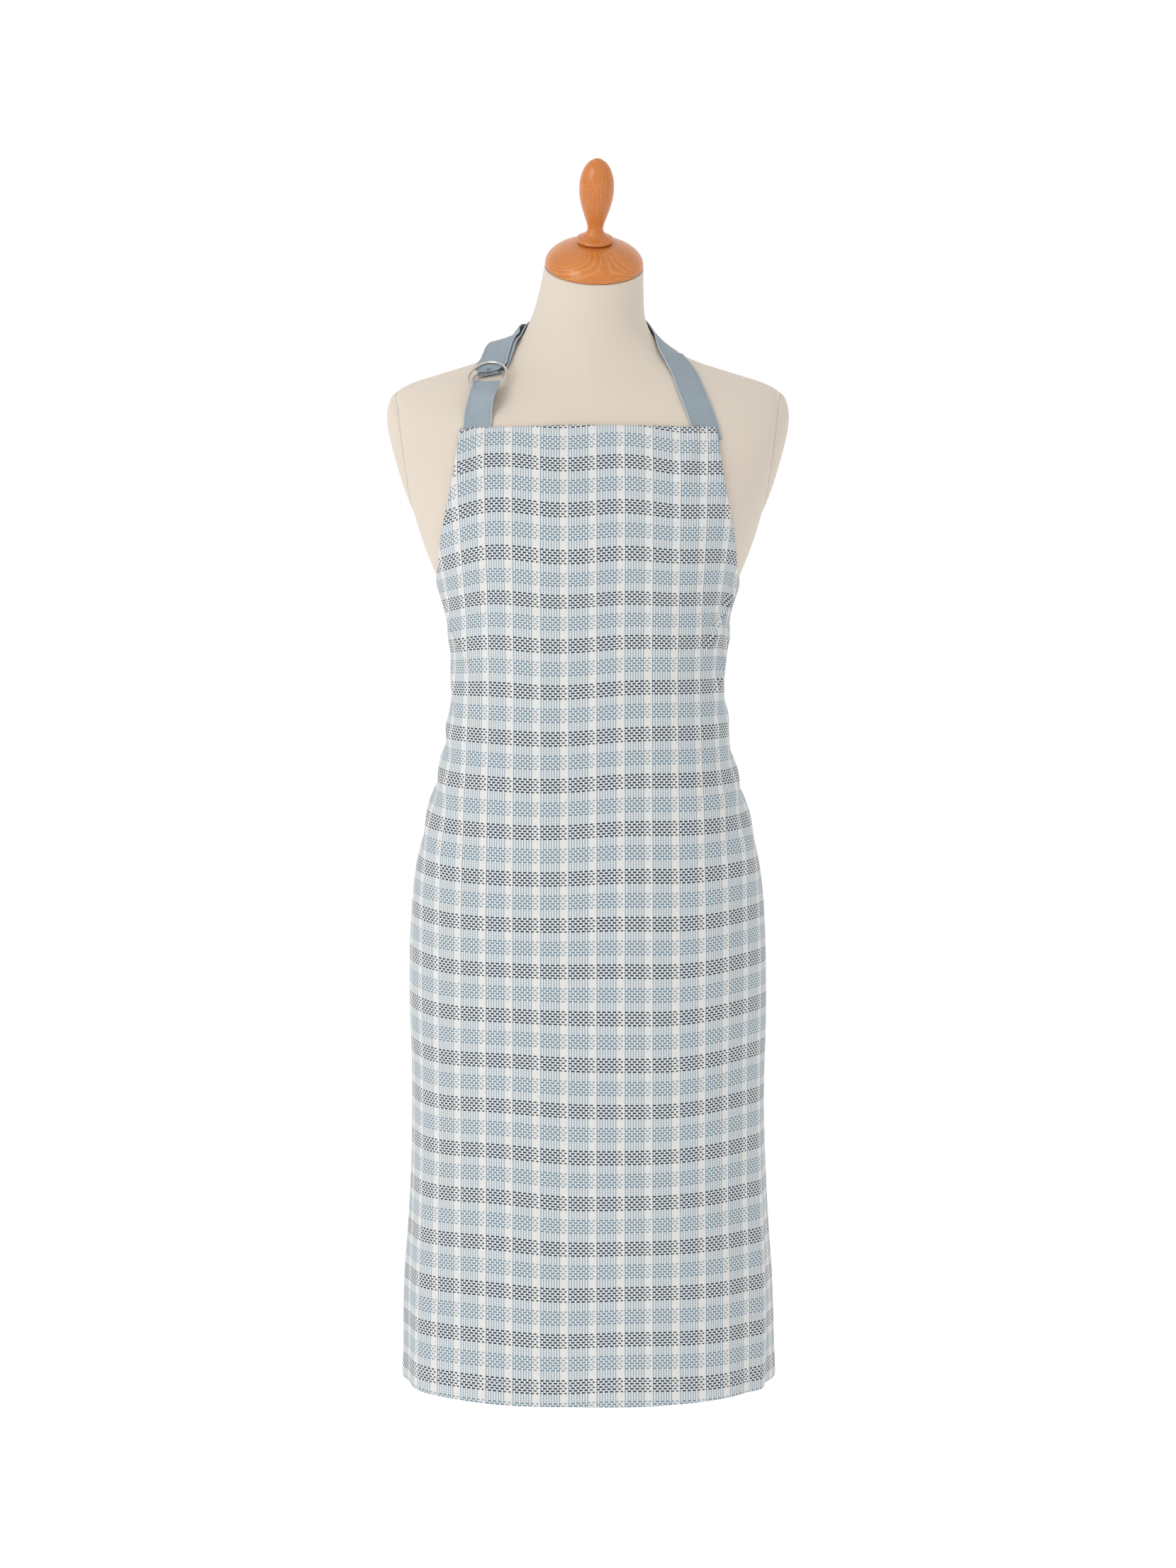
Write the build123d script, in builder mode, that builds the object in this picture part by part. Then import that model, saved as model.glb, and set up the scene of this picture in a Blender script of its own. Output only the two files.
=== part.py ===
from build123d import *
import os
from math import acos, copysign, cos, hypot, pi, radians, sin

os.makedirs("parts", exist_ok=True)

# A kitchen apron worn by a dressmaker's form.
# Frame: origin on the pole socket's axis, level with the form's underside. +Z is up, the apron's
# front faces -Y, and +X is on the right of someone who looks at that front. All sizes in millimetres.

# ---- Driving dimensions -------------------------------------------------------------------------

# The form's body, from its underside to the top of the neck. Each row is one cross-section:
# level, half width, depth to the front, depth to the back, how flat its front and back are, how flat
# its sides are (2 and 2 is an ellipse), centre's x, centre's y, forward tilt and sideways lean.
FORM = [
    (0, 149, 100, 108, 2.25, 2.25, 0, 0, 0, 0),
    (60, 158, 104, 113, 2.25, 2.25, 0, 0, 0, 0),
    (124, 165, 107, 112, 2.25, 2.25, 0, 0, 0, 0),
    (185, 160, 104, 103, 2.25, 2.25, 0, 0, 0, 0),
    (239, 147, 98, 91, 2.25, 2.25, 0, 0, 0, 0),
    (294, 133, 90, 81, 2.25, 2.25, 0, 0, 0, 0),
    (370, 125, 84, 76, 2.25, 2.25, 0, 0, 0, 0),
    (417, 130, 90, 82, 2.3, 2.3, 0, 0, 0, 0),
    (453, 140, 101, 90, 2.35, 2.35, 0, 0, 0, 0),
    (483, 152, 109, 97, 2.4, 2.4, 0, 0, 0, 0),
    (526, 167, 106, 103, 2.45, 2.45, 0, 0, 0, 0),
    (568, 181, 94, 104, 2.4, 2.4, 0, 0, 0, 0),
    (609, 190, 77, 99, 2.15, 2, 0, 0, 0, 0),
    (633, 184, 65, 90, 1.7, 1.5, 0, 0, 0, 0),
    (644, 166, 60, 84, 1.55, 1.3, 0, 0, 0, 0),
    (652, 141, 56, 79, 1.5, 1.2, 0, 0, 0, 0),
    (665, 101, 51, 71, 1.6, 1.3, 0, 0, 1, 0),
    (683, 67, 48, 62, 1.8, 1.7, 0, 0, 4, 0),
    (702, 55, 46, 55, 2, 2, 0, -1, 9, 0.3),
    (727, 49.5, 45, 50, 2, 2, 3, -7, 17, 1),
    (753, 46.5, 45, 47, 2, 2, 5.7, -15, 25, 1.9),
]
SHELL = 3.0  # moulded wall of the form
COVER = 1.2  # jersey stretched over it
ARM_CUT_X = 176  # where the arms are cut off
ARM_CUT_LEVEL = 600
ARM_CUT_TILT = 8  # the cut faces a little downwards
GAP = 0.3  # between parts that rest on each other

# The apron's skirt hangs free under the hips: level, half width, front, back, and how flat it is.
SKIRT = [
    (-300, 175.5, 110.5, 119.5, 2.25, 2.25),
    (-206, 173, 110.5, 119, 2.25, 2.25),
    (-138, 169, 110.5, 118.5, 2.25, 2.25),
    (-84, 166.5, 110.5, 118, 2.25, 2.25),
    (0, 166.5, 110.5, 117.5, 2.25, 2.25),
    (60, 168, 110.5, 117, 2.25, 2.25),
]
BIB_TOP = 604
CLOTH = 1.2  # apron cloth
CLOTH_LIFT = 2.4  # from the jersey to the inside of the cloth, which leaves room for the straps
BIB_EDGE = [(118.4, 606), (123.5, 566), (130, 531), (135, 507), (138, 483), (139, 463)]
SIDE_Y = 35  # the armhole turns round the side there, in front of the origin
ARMHOLE = [(-SIDE_Y, 463), (0, 441), (40, 411), (70, 384), (92, 357)]
BACK_EDGE = [(14, 385), (17, 350), (36, 296), (73, 239), (105, 185), (121, 124), (123, 0), (127, -138), (138, -302)]

STRAP_WIDTH = 27
STRAP = 1.2  # thickness of the twill strap and ties
RING_WIRE = 1.2  # radius of the ring wire
RING_FRONT_RADIUS = 18.3
RING_BACK_RADIUS = 15.05
RING_CENTRE = (-93.7, -48, 650)
RING_UP = (0.20, 0.68, 0.70)  # along the short strap, up the chest
RING_FACING = (-0.2, -0.65, 0.73)  # roughly outwards from the chest
RING_BACK_CENTRE = (0.1, -3.6)  # up and outwards from the front ring's centre
RING_BACK_TILT = 10  # the rear ring leans further back

TIE_LEVEL = 341
KNOT_SIZE = (29, 16, 26)
KNOT_Y = 90
KNOT_ROUND = 6
LOOP_DROOP = 35
LOOP_LENGTH = 106
LOOP_START = 18.5

SOCKET_BORE = 12.8
SOCKET_OUTER = 17
SOCKET_MOUTH = -45
SOCKET_TOP = 60
FLANGE_RADIUS = 48
FLANGE = 4
BOARD = 12
BOARD_CLEARANCE = 1.6  # from the board to the shell round it
SCREW_CIRCLE = 36
CLAMP_LEVEL = -26
THREAD = 3.0  # radius of the stud and of the clamp screw
RUNNING = 0.05  # radial clearance of a part that turns on a thread

CAP_HEIGHT = 26
FINIAL_TOP = 107.7


# ---- The body's surface -------------------------------------------------------------------------


def row_at(level, table):
    """The table's row at that level, on a smooth curve through its rows."""
    last = len(table) - 1
    i = 0
    while i < last - 1 and table[i + 1][0] < level:
        i += 1
    low, high = table[i], table[i + 1]
    before, after = table[max(i - 1, 0)], table[min(i + 2, last)]
    span = high[0] - low[0]
    t = (level - low[0]) / span
    row = []
    for p0, p1, p2, p3 in zip(before, low, high, after):
        rise_in = (p2 - p0) / (high[0] - before[0]) * span
        rise_out = (p3 - p1) / (after[0] - low[0]) * span
        row.append(
            (2 * t**3 - 3 * t**2 + 1) * p1
            + (t**3 - 2 * t**2 + t) * rise_in
            + (3 * t**2 - 2 * t**3) * p2
            + (t**3 - t**2) * rise_out
        )
    row[0] = level
    return row


def grown(row, table, amount):
    """The row moved outwards by that amount, measured square to the surface."""
    step = 2
    above = row_at(min(row[0] + step, table[-1][0]), table)
    below = row_at(max(row[0] - step, table[0][0]), table)
    rise = above[0] - below[0]
    sizes = [row[i] + amount * hypot(1, (above[i] - below[i]) / rise) for i in (1, 2, 3)]
    return [row[0], *sizes, *row[4:]]


def on_outline(row, turn):
    """The point of a section's outline at that turn, in the section's own plane; -90 is the front."""
    c, s = cos(radians(turn)), sin(radians(turn))
    depth = row[2] if s < 0 else row[3]
    return (
        copysign(abs(c) ** (2 / row[4]), c) * row[1],
        copysign(abs(s) ** (2 / row[5]), s) * depth,
    )


def section_plane(row):
    """The plane of a section of the form."""
    tilt, lean = radians(row[8]), radians(row[9])
    return Plane(
        origin=(row[6], row[7], row[0]),
        x_dir=(cos(lean), 0, -sin(lean)),
        z_dir=(sin(lean) * cos(tilt), -sin(tilt), cos(lean) * cos(tilt)),
    )


def outline_face(row, plane):
    """The face that a section's outline encloses."""
    with BuildSketch(plane) as section:
        with BuildLine():
            Spline(*[on_outline(row, turn) for turn in range(0, 360, 15)], periodic=True)
        make_face()
    return section.sketch.face()


def form_faces(amount, levels):
    """The form's sections, moved outwards by that amount."""
    rows = [row_at(level, FORM) for level in levels]
    return [outline_face(grown(row, FORM, amount), section_plane(row)) for row in rows]


def skin(level, turn, lift):
    """The point at that turn of the form's section, lifted off the surface."""
    row = row_at(level, FORM)
    return section_plane(row).from_local_coords(on_outline(grown(row, FORM, lift), turn))


def skin_normal(level, turn):
    """The surface's outward direction there."""
    round_ = skin(level, turn + 1, 0) - skin(level, turn - 1, 0)
    up = skin(level + 1, turn, 0) - skin(level - 1, turn, 0)
    return round_.cross(up).normalized()


def front_turn(level, x):
    """The turn at which the front of the form's section has that x."""
    row = row_at(level, FORM)
    share = min(abs(x) / row[1], 1)
    turn = acos(share ** (row[4] / 2)) * 180 / pi
    return -turn if x > 0 else 180 + turn


def over_front(rows):
    """Rows of level, turn and lift, from rows of level, x and lift on the form's front."""
    return [(level, front_turn(level, x), lift) for level, x, lift in rows]


def over_path(rows, steps=3):
    """Points over the form, from rows of level, turn and lift, each with its outward direction."""
    path = []
    for (start, end) in zip(rows, rows[1:]):
        for step in range(steps):
            place = [a + (b - a) * step / steps for a, b in zip(start, end)]
            path.append((skin(*place), skin_normal(*place[:2])))
    path.append((skin(*rows[-1]), skin_normal(*rows[-1][:2])))
    return path


def ribbon_faces(path):
    """Rectangles across a band, from rows of centre, outward direction, width and thickness."""
    faces = []
    for i, (centre, outward, width, thickness) in enumerate(path):
        ahead = (path[min(i + 1, len(path) - 1)][0] - path[max(i - 1, 0)][0]).normalized()
        across = outward.cross(ahead).normalized()
        with BuildSketch(Plane(origin=centre, x_dir=across, z_dir=ahead)) as section:
            Rectangle(width, thickness)
        faces.append(section.sketch.face())
    return faces


def plain(path):
    """Ribbon rows of the strap's own width."""
    return [(centre, outward, STRAP_WIDTH, STRAP) for centre, outward in path]


STEPS_FROM = 568  # above this level the form's sections are also taken half-way between the rows
FORM_LEVELS = [row[0] for row in FORM]
FORM_LEVELS += [(a + b) / 2 for a, b in zip(FORM_LEVELS, FORM_LEVELS[1:]) if a >= STEPS_FROM]
FORM_LEVELS.sort()
NECK_PLANE = section_plane(FORM[-1])


# ---- The form -----------------------------------------------------------------------------------


def arm_plane(side, inset):
    """The plane of an arm's cut, facing outwards; side is -1 or 1."""
    tilt = radians(ARM_CUT_TILT)
    outward = Vector(side * cos(tilt), 0, -sin(tilt))
    centre = Vector(side * ARM_CUT_X, 0, ARM_CUT_LEVEL) + outward * inset
    return Plane(origin=centre, x_dir=(0, 1, 0), z_dir=outward)


def arm_face(side, inset):
    """A face that covers the whole of an arm's cut."""
    with BuildSketch(arm_plane(side, inset)) as cut:
        Rectangle(300, 200)
    return cut.sketch.face()


with BuildPart() as jersey_cover:
    loft(form_faces(0, FORM_LEVELS))
    loft(form_faces(-COVER, FORM_LEVELS), mode=Mode.SUBTRACT)
    extrude([arm_face(-1, 0), arm_face(1, 0)], amount=60, mode=Mode.SUBTRACT)
jersey_cover.part.label = "jersey_cover"

with BuildPart() as torso_shell:
    loft(form_faces(-COVER, FORM_LEVELS))
    loft(form_faces(-COVER - SHELL, FORM_LEVELS), mode=Mode.SUBTRACT)
    extrude([arm_face(-1, 0), arm_face(1, 0)], amount=60, mode=Mode.SUBTRACT)
torso_shell.part.label = "torso_shell"

arm_caps = []
for side, name in ((-1, "arm_cap_left"), (1, "arm_cap_right")):
    with BuildPart() as arm_cap:
        loft(form_faces(0, FORM_LEVELS))
        extrude(arm_face(side, 0.1), amount=60, mode=Mode.INTERSECT)
    arm_cap.part.label = name
    arm_caps.append(arm_cap)

with BuildPart() as base_board:
    board_row = grown(row_at(FLANGE, FORM), FORM, -COVER - SHELL - BOARD_CLEARANCE)
    with BuildSketch(Plane.XY.offset(FLANGE)):
        add(outline_face(board_row, Plane.XY))
        Circle(SOCKET_OUTER + GAP, mode=Mode.SUBTRACT)
        with PolarLocations(SCREW_CIRCLE, 4, start_angle=45):
            Circle(2.0, mode=Mode.SUBTRACT)
    extrude(amount=BOARD)
base_board.part.label = "base_board"

with BuildPart() as pole_socket:
    with BuildSketch(Plane.XY.offset(SOCKET_MOUTH)):
        Circle(SOCKET_OUTER)
    extrude(amount=SOCKET_TOP - SOCKET_MOUTH)
    with BuildSketch(Plane.XY):
        Circle(FLANGE_RADIUS)
    extrude(amount=FLANGE)
    boss_plane = Plane(origin=(0, 0, CLAMP_LEVEL), x_dir=(1, 0, 0), z_dir=(0, 1, 0))
    with BuildSketch(boss_plane):
        Circle(7)
    extrude(amount=SOCKET_OUTER + 7)
    fillet(pole_socket.edges().filter_by(GeomType.CIRCLE).sort_by(Axis.Y)[-1], 1)
    with BuildSketch(Plane.XY.offset(SOCKET_MOUTH)):
        Circle(SOCKET_BORE)
    extrude(amount=SOCKET_TOP - SOCKET_MOUTH - 4, mode=Mode.SUBTRACT)
    with BuildSketch(boss_plane):
        Circle(THREAD + RUNNING)
    extrude(amount=SOCKET_OUTER + 10, mode=Mode.SUBTRACT)
    with BuildSketch(Plane.XY):
        with PolarLocations(SCREW_CIRCLE, 4, start_angle=45):
            Circle(2.1)
    extrude(amount=FLANGE, mode=Mode.SUBTRACT)
pole_socket.part.label = "pole_socket"

with BuildPart() as socket_screws:
    with BuildSketch(Plane.XY):
        with PolarLocations(SCREW_CIRCLE, 4, start_angle=45):
            Circle(1.95)
    extrude(amount=FLANGE + BOARD - 2)
    with BuildSketch(Plane.XY):
        with PolarLocations(SCREW_CIRCLE, 4, start_angle=45):
            Circle(4)
    extrude(amount=-2.4)
    heads = socket_screws.edges().filter_by(GeomType.CIRCLE).group_by(Axis.Z)[0]
    fillet(heads, 1.2)
socket_screws.part.label = "socket_screws"

with BuildPart() as clamp_screw:
    with BuildSketch(boss_plane.offset(SOCKET_BORE + 0.7)):
        Circle(THREAD)
    extrude(amount=28)
    with BuildSketch(boss_plane.offset(SOCKET_OUTER + 12)):
        Circle(10)
        with PolarLocations(11.2, 8):
            Circle(3, mode=Mode.SUBTRACT)
    extrude(amount=11)
clamp_screw.part.label = "clamp_screw"

NECK_BLOCK_LEVELS = (733.5, 740, 752.6)
with BuildPart() as neck_block:
    loft(form_faces(-COVER - SHELL - 1, NECK_BLOCK_LEVELS))
    with BuildSketch(NECK_PLANE.offset(-40)):
        Circle(THREAD + RUNNING)
    extrude(amount=60, mode=Mode.SUBTRACT)
neck_block.part.label = "neck_block"

with BuildPart() as neck_cap:
    with BuildSketch(Plane(origin=NECK_PLANE.origin, x_dir=NECK_PLANE.x_dir, z_dir=-NECK_PLANE.y_dir)):
        with BuildLine():
            Line((THREAD + RUNNING, 0.4), (44.5, 0.4))
            CenterArc((44.5, 2.4), 2, -90, 90)
            dome = EllipticalCenterArc((0, 2.4), 46.5, CAP_HEIGHT - 2.4, start_angle=0, arc_size=74)
            Line(dome @ 1, (THREAD + RUNNING, (dome @ 1).Y))
            Line((THREAD + RUNNING, (dome @ 1).Y), (THREAD + RUNNING, 0.4))
        make_face()
    revolve(axis=Axis(NECK_PLANE.origin, NECK_PLANE.z_dir))
neck_cap.part.label = "neck_cap"

with BuildPart() as finial:
    collar = CAP_HEIGHT - 0.4
    with BuildSketch(Plane(origin=NECK_PLANE.origin, x_dir=NECK_PLANE.x_dir, z_dir=-NECK_PLANE.y_dir)):
        with BuildLine():
            Line((THREAD + RUNNING, collar), (15.5, collar))
            ThreePointArc((15.5, collar), (17.5, collar + 2), (15.6, collar + 4))
            Spline(
                (15.6, collar + 4), (10.8, collar + 7.6), (7.6, 41.5), (10.8, 54), (15.3, 68),
                (16.3, 79), (14.5, 92), (9, 102.4), (0, FINIAL_TOP),
            )
            Line((0, FINIAL_TOP), (0, 62))
            Line((0, 62), (THREAD + RUNNING, 62))
            Line((THREAD + RUNNING, 62), (THREAD + RUNNING, collar))
        make_face()
    revolve(axis=Axis(NECK_PLANE.origin, NECK_PLANE.z_dir))
finial.part.label = "finial"

with BuildPart() as finial_stud:
    with BuildSketch(NECK_PLANE.offset(-24)):
        Circle(THREAD)
    extrude(amount=24 + 60)
finial_stud.part.label = "finial_stud"


# ---- The apron's cloth --------------------------------------------------------------------------


def apron_faces(amount):
    """The apron's closed sections, which the armholes and the open back are then cut from."""
    rows = [grown(row, SKIRT, amount) for row in SKIRT]
    for level in FORM_LEVELS:
        if SKIRT[-1][0] < level < BIB_TOP:
            rows.append(grown(row_at(level, FORM), FORM, CLOTH_LIFT + amount)[:6])
    rows.append(grown(row_at(BIB_TOP, FORM), FORM, CLOTH_LIFT + amount)[:6])
    return [outline_face(row, Plane.XY.offset(row[0])) for row in rows]


with BuildPart() as apron_panel:
    loft(apron_faces(CLOTH))
    loft(apron_faces(0), mode=Mode.SUBTRACT)
    with BuildSketch(Plane.XZ.offset(SIDE_Y)):
        with BuildLine():
            edge = Spline(*BIB_EDGE)
            Polyline(edge @ 1, (260, BIB_EDGE[-1][1]), (260, 640), (BIB_EDGE[0][0], 640), edge @ 0)
        make_face()
        mirror(about=Plane.YZ)
    extrude(amount=120, mode=Mode.SUBTRACT)
    with BuildSketch(Plane.YZ):
        with BuildLine():
            edge = Spline(*ARMHOLE)
            Polyline(edge @ 1, (160, ARMHOLE[-1][1]), (160, 640), (-SIDE_Y, 640), edge @ 0)
        make_face()
    extrude(amount=260, both=True, mode=Mode.SUBTRACT)
    with BuildSketch(Plane.XZ):
        with BuildLine():
            edge = Spline(*BACK_EDGE)
            Polyline(edge @ 1, (0, BACK_EDGE[-1][1]), (0, BACK_EDGE[0][1]), edge @ 0)
        make_face()
        mirror(about=Plane.YZ)
    extrude(amount=-160, mode=Mode.SUBTRACT)
apron_panel.part.label = "apron_panel"


# ---- Rings and neck strap -----------------------------------------------------------------------

# The rings' own frame: across the strap, up along it, and outwards from the chest.
UP = Vector(*RING_UP).normalized()
ACROSS = UP.cross(Vector(*RING_FACING)).normalized()
OUT = ACROSS.cross(UP)


def at_rings(up, out):
    """The point on the strap's centre line, that far up from the front ring's centre and out."""
    return Vector(*RING_CENTRE) + UP * up + OUT * out


def fold(rows):
    """Ribbon rows of a fold in the rings' frame: up, out, facing, width, thickness. Facing is the
    angle from straight out towards up that the band's outer side looks in."""
    path = []
    for up, out, facing, width, thickness in rows:
        outward = OUT * cos(radians(facing)) + UP * sin(radians(facing))
        path.append((at_rings(up, out), outward, width, thickness))
    return path


with BuildPart() as ring_front:
    with Locations(Plane(origin=at_rings(0, 0), x_dir=ACROSS, z_dir=OUT)):
        Torus(RING_FRONT_RADIUS, RING_WIRE)
ring_front.part.label = "ring_front"

with BuildPart() as ring_back:
    leaning = OUT * cos(radians(RING_BACK_TILT)) + UP * sin(radians(RING_BACK_TILT))
    with Locations(Plane(origin=at_rings(*RING_BACK_CENTRE), x_dir=ACROSS, z_dir=leaning)):
        Torus(RING_BACK_RADIUS, RING_WIRE)
ring_back.part.label = "ring_back"

# Between the back of the neck and the rings the long strap crosses the shoulder's ridge clear of the
# form: the first layer's middle and outward direction on the way down, and the second's going back.
OVER_RIDGE = [
    (Vector(-71.8, 6.4, 683.8), Vector(-0.55, 0.02, 0.83)),
    (Vector(-77, -6.5, 682.6), Vector(-0.3, -0.1, 0.95)),
    (Vector(-81, -15, 676.6), Vector(-0.26, -0.42, 0.87)),
    (Vector(-84.4, -23.5, 667.8), Vector(-0.24, -0.6, 0.76)),
]
BACK_OVER_RIDGE = [
    (Vector(-86.8, -24.6, 670.4), Vector(-0.24, -0.6, 0.76)),
    (Vector(-83.6, -14.8, 679.6), Vector(-0.26, -0.42, 0.87)),
    (Vector(-79.4, -5.4, 685.4), Vector(-0.3, -0.1, 0.95)),
    (Vector(-74.8, 7.4, 686.3), Vector(-0.55, 0.02, 0.83)),
]

# The short strap goes up from behind the bib, over both rings' lower bars and down behind them.
with BuildPart() as ring_strap:
    foot = over_path(over_front([(589, -104.2, 1.2), (603, -101.6, 1.5), (617, -98.8, 5)]), steps=1)
    over_bars = fold([
        (-25, 2.4, 0, 25, STRAP), (-13, 2.3, 0, 22, STRAP), (-9.6, 1.5, 35, 19.4, STRAP),
        (-8.4, -1, 90, 19.4, STRAP), (-9.6, -3.7, 145, 19.4, STRAP), (-13, -4.8, 175, 22, STRAP),
        (-24, -3.8, 188, 24, STRAP), (-30, -2, 190, 25, STRAP),
    ])
    loft(ribbon_faces(plain(foot) + over_bars), ruled=True)
ring_strap.part.label = "ring_strap"

# The long strap goes up from behind the bib's other corner, round the back of the neck, down behind
# both rings, forward through them and up over the rear ring's upper bar.
with BuildPart() as neck_strap:
    right = over_front([
        (590, 110.5, 1.2), (603, 107.5, 1.3), (620, 101.5, 1.8), (637, 94, 2.2), (652, 86, 2.2),
        (664, 78.5, 2.4), (674, 71.5, 3),
    ])
    neck = [
        (684, 4, 3), (691, 28, 2.8), (696, 55, 2.4), (699, 90, 2.2), (697, 125, 2.4), (689, 153, 3.2),
    ]
    round_bar = fold([
        (20, -8.6, 0, 20, STRAP), (13, -8.9, 0, 14, 1.8), (9.8, -7.2, -45, 14, 1.8),
        (9.6, -5, -130, 14, 1.8), (11.8, -3.2, -160, 14, 1.8), (16, -3, -180, 16, 1.5),
        (20, -3.4, -180, 22, STRAP),
    ])
    loft(ribbon_faces(plain(over_path(right + neck) + OVER_RIDGE) + round_bar), ruled=True)
neck_strap.part.label = "neck_strap"

# Its free end lies over itself, across the shoulder and down the back.
with BuildPart() as neck_strap_tail:
    start = fold([(21.5, -3.5, 0, 22, STRAP)])
    back = [
        (687, 163, 8), (685, 146, 7.4), (676, 133, 5.5), (655, 124, 2.8), (628, 118, 2), (600, 115, 1.8),
    ]
    loft(ribbon_faces(start + plain(BACK_OVER_RIDGE + over_path(back))), ruled=True)
neck_strap_tail.part.label = "neck_strap_tail"


# ---- Waist ties, in a bow at the back -----------------------------------------------------------

ties = []
for side, name in ((-1, "tie_left"), (1, "tie_right")):
    with BuildPart() as tie:
        turns = [90 - side * turn for turn in (19.5, 6)]
        band = over_path([(TIE_LEVEL, turn, CLOTH_LIFT + CLOTH + STRAP / 2 + GAP) for turn in turns])
        band.append((Vector(side * 15, KNOT_Y - 4, TIE_LEVEL), Vector(0, 1, 0)))
        loft(ribbon_faces(plain(band)), ruled=True)
    tie.part.label = name
    ties.append(tie)

with BuildPart() as bow_knot:
    with BuildSketch(Plane.XY.offset(TIE_LEVEL - KNOT_SIZE[2] / 2)):
        with Locations((0, KNOT_Y)):
            Rectangle(KNOT_SIZE[0], KNOT_SIZE[1])
    extrude(amount=KNOT_SIZE[2])
    fillet(bow_knot.edges(), KNOT_ROUND)
bow_knot.part.label = "bow_knot"

bow_loops = []
for side, name in ((-1, "bow_loop_left"), (1, "bow_loop_right")):
    with BuildPart() as bow_loop:
        droop = radians(LOOP_DROOP)
        along = Vector(side * cos(droop), 0, -sin(droop))
        root = Vector(side * LOOP_START, KNOT_Y + 4, TIE_LEVEL)
        with BuildSketch(Plane(origin=root, x_dir=along, z_dir=along.cross(Vector(0, 1, 0)))):
            with BuildLine():
                Spline(
                    (1, 0), (30, 8), (78, 11), (LOOP_LENGTH, 2), (78, -6), (30, -5), (1, 0),
                )
            make_face()
            with BuildLine():
                Spline((9, 0.6), (32, 6.4), (77, 9.2), (LOOP_LENGTH - 2, 2), (77, -4.4), (32, -3.2), (9, 0.6))
            make_face(mode=Mode.SUBTRACT)
        extrude(amount=STRAP_WIDTH / 2, both=True)
        with BuildSketch(Plane(origin=root, x_dir=along, z_dir=(0, 1, 0))):
            Polygon(
                (0, 4), (26, 13), (LOOP_LENGTH + 2, 13.5), (LOOP_LENGTH + 2, -13.5), (26, -13), (0, -4),
                align=None,
            )
        extrude(amount=40, both=True, mode=Mode.INTERSECT)
    bow_loop.part.label = name
    bow_loops.append(bow_loop)

# Each tail hangs over the form's seat: distance sideways, depth and level.
TAIL_ROUTE = [
    (14.2, 88, 326.5), (15.5, 90, 300), (17, 94, 270), (19, 98.5, 239), (21, 103, 212),
    (22.5, 108.5, 185), (24, 113.5, 155), (25, 116.5, 124), (25.5, 118, 90), (26, 118, 50),
    (26.5, 117.5, 5),
]
tie_tails = []
for side, name in ((-1, "tie_tail_left"), (1, "tie_tail_right")):
    with BuildPart() as tie_tail:
        route = [(Vector(side * x, y, z), Vector(0, 1, 0)) for x, y, z in TAIL_ROUTE]
        loft(ribbon_faces(plain(route)), ruled=True)
    tie_tail.part.label = name
    tie_tails.append(tie_tail)

PARTS = [
    jersey_cover, torso_shell, *arm_caps, base_board, pole_socket, socket_screws, clamp_screw,
    neck_block, neck_cap, finial, finial_stud, apron_panel, ring_front, ring_back, ring_strap,
    neck_strap, neck_strap_tail, *ties, bow_knot, *bow_loops, *tie_tails,
]
for built in PARTS:
    export_step(built.part, f"parts/{built.part.label}.step")
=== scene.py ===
from math import cos, pi, radians, sin

import bmesh
import bpy
import numpy as np
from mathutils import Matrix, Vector


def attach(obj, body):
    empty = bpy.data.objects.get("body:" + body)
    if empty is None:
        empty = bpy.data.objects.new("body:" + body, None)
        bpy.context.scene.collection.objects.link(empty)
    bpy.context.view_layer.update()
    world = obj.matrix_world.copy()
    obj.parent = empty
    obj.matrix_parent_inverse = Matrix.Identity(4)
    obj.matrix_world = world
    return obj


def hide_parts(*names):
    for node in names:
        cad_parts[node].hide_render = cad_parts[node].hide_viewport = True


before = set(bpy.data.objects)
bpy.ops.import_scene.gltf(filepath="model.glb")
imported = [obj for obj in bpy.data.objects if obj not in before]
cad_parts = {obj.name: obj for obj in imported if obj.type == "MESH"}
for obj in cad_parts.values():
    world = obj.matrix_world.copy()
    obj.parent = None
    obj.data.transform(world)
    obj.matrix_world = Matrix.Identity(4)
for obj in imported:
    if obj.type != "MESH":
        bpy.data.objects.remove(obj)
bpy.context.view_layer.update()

# A kitchen apron on a dressmaker's form. The CAD frame holds every size; lengths below are in
# millimetres until a mesh is made, and MM turns them into Blender's metres.
MM = 0.001
ROOT = "form_and_apron"

# ---- The same driving sections as the CAD form ---------------------------------------------------

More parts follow.
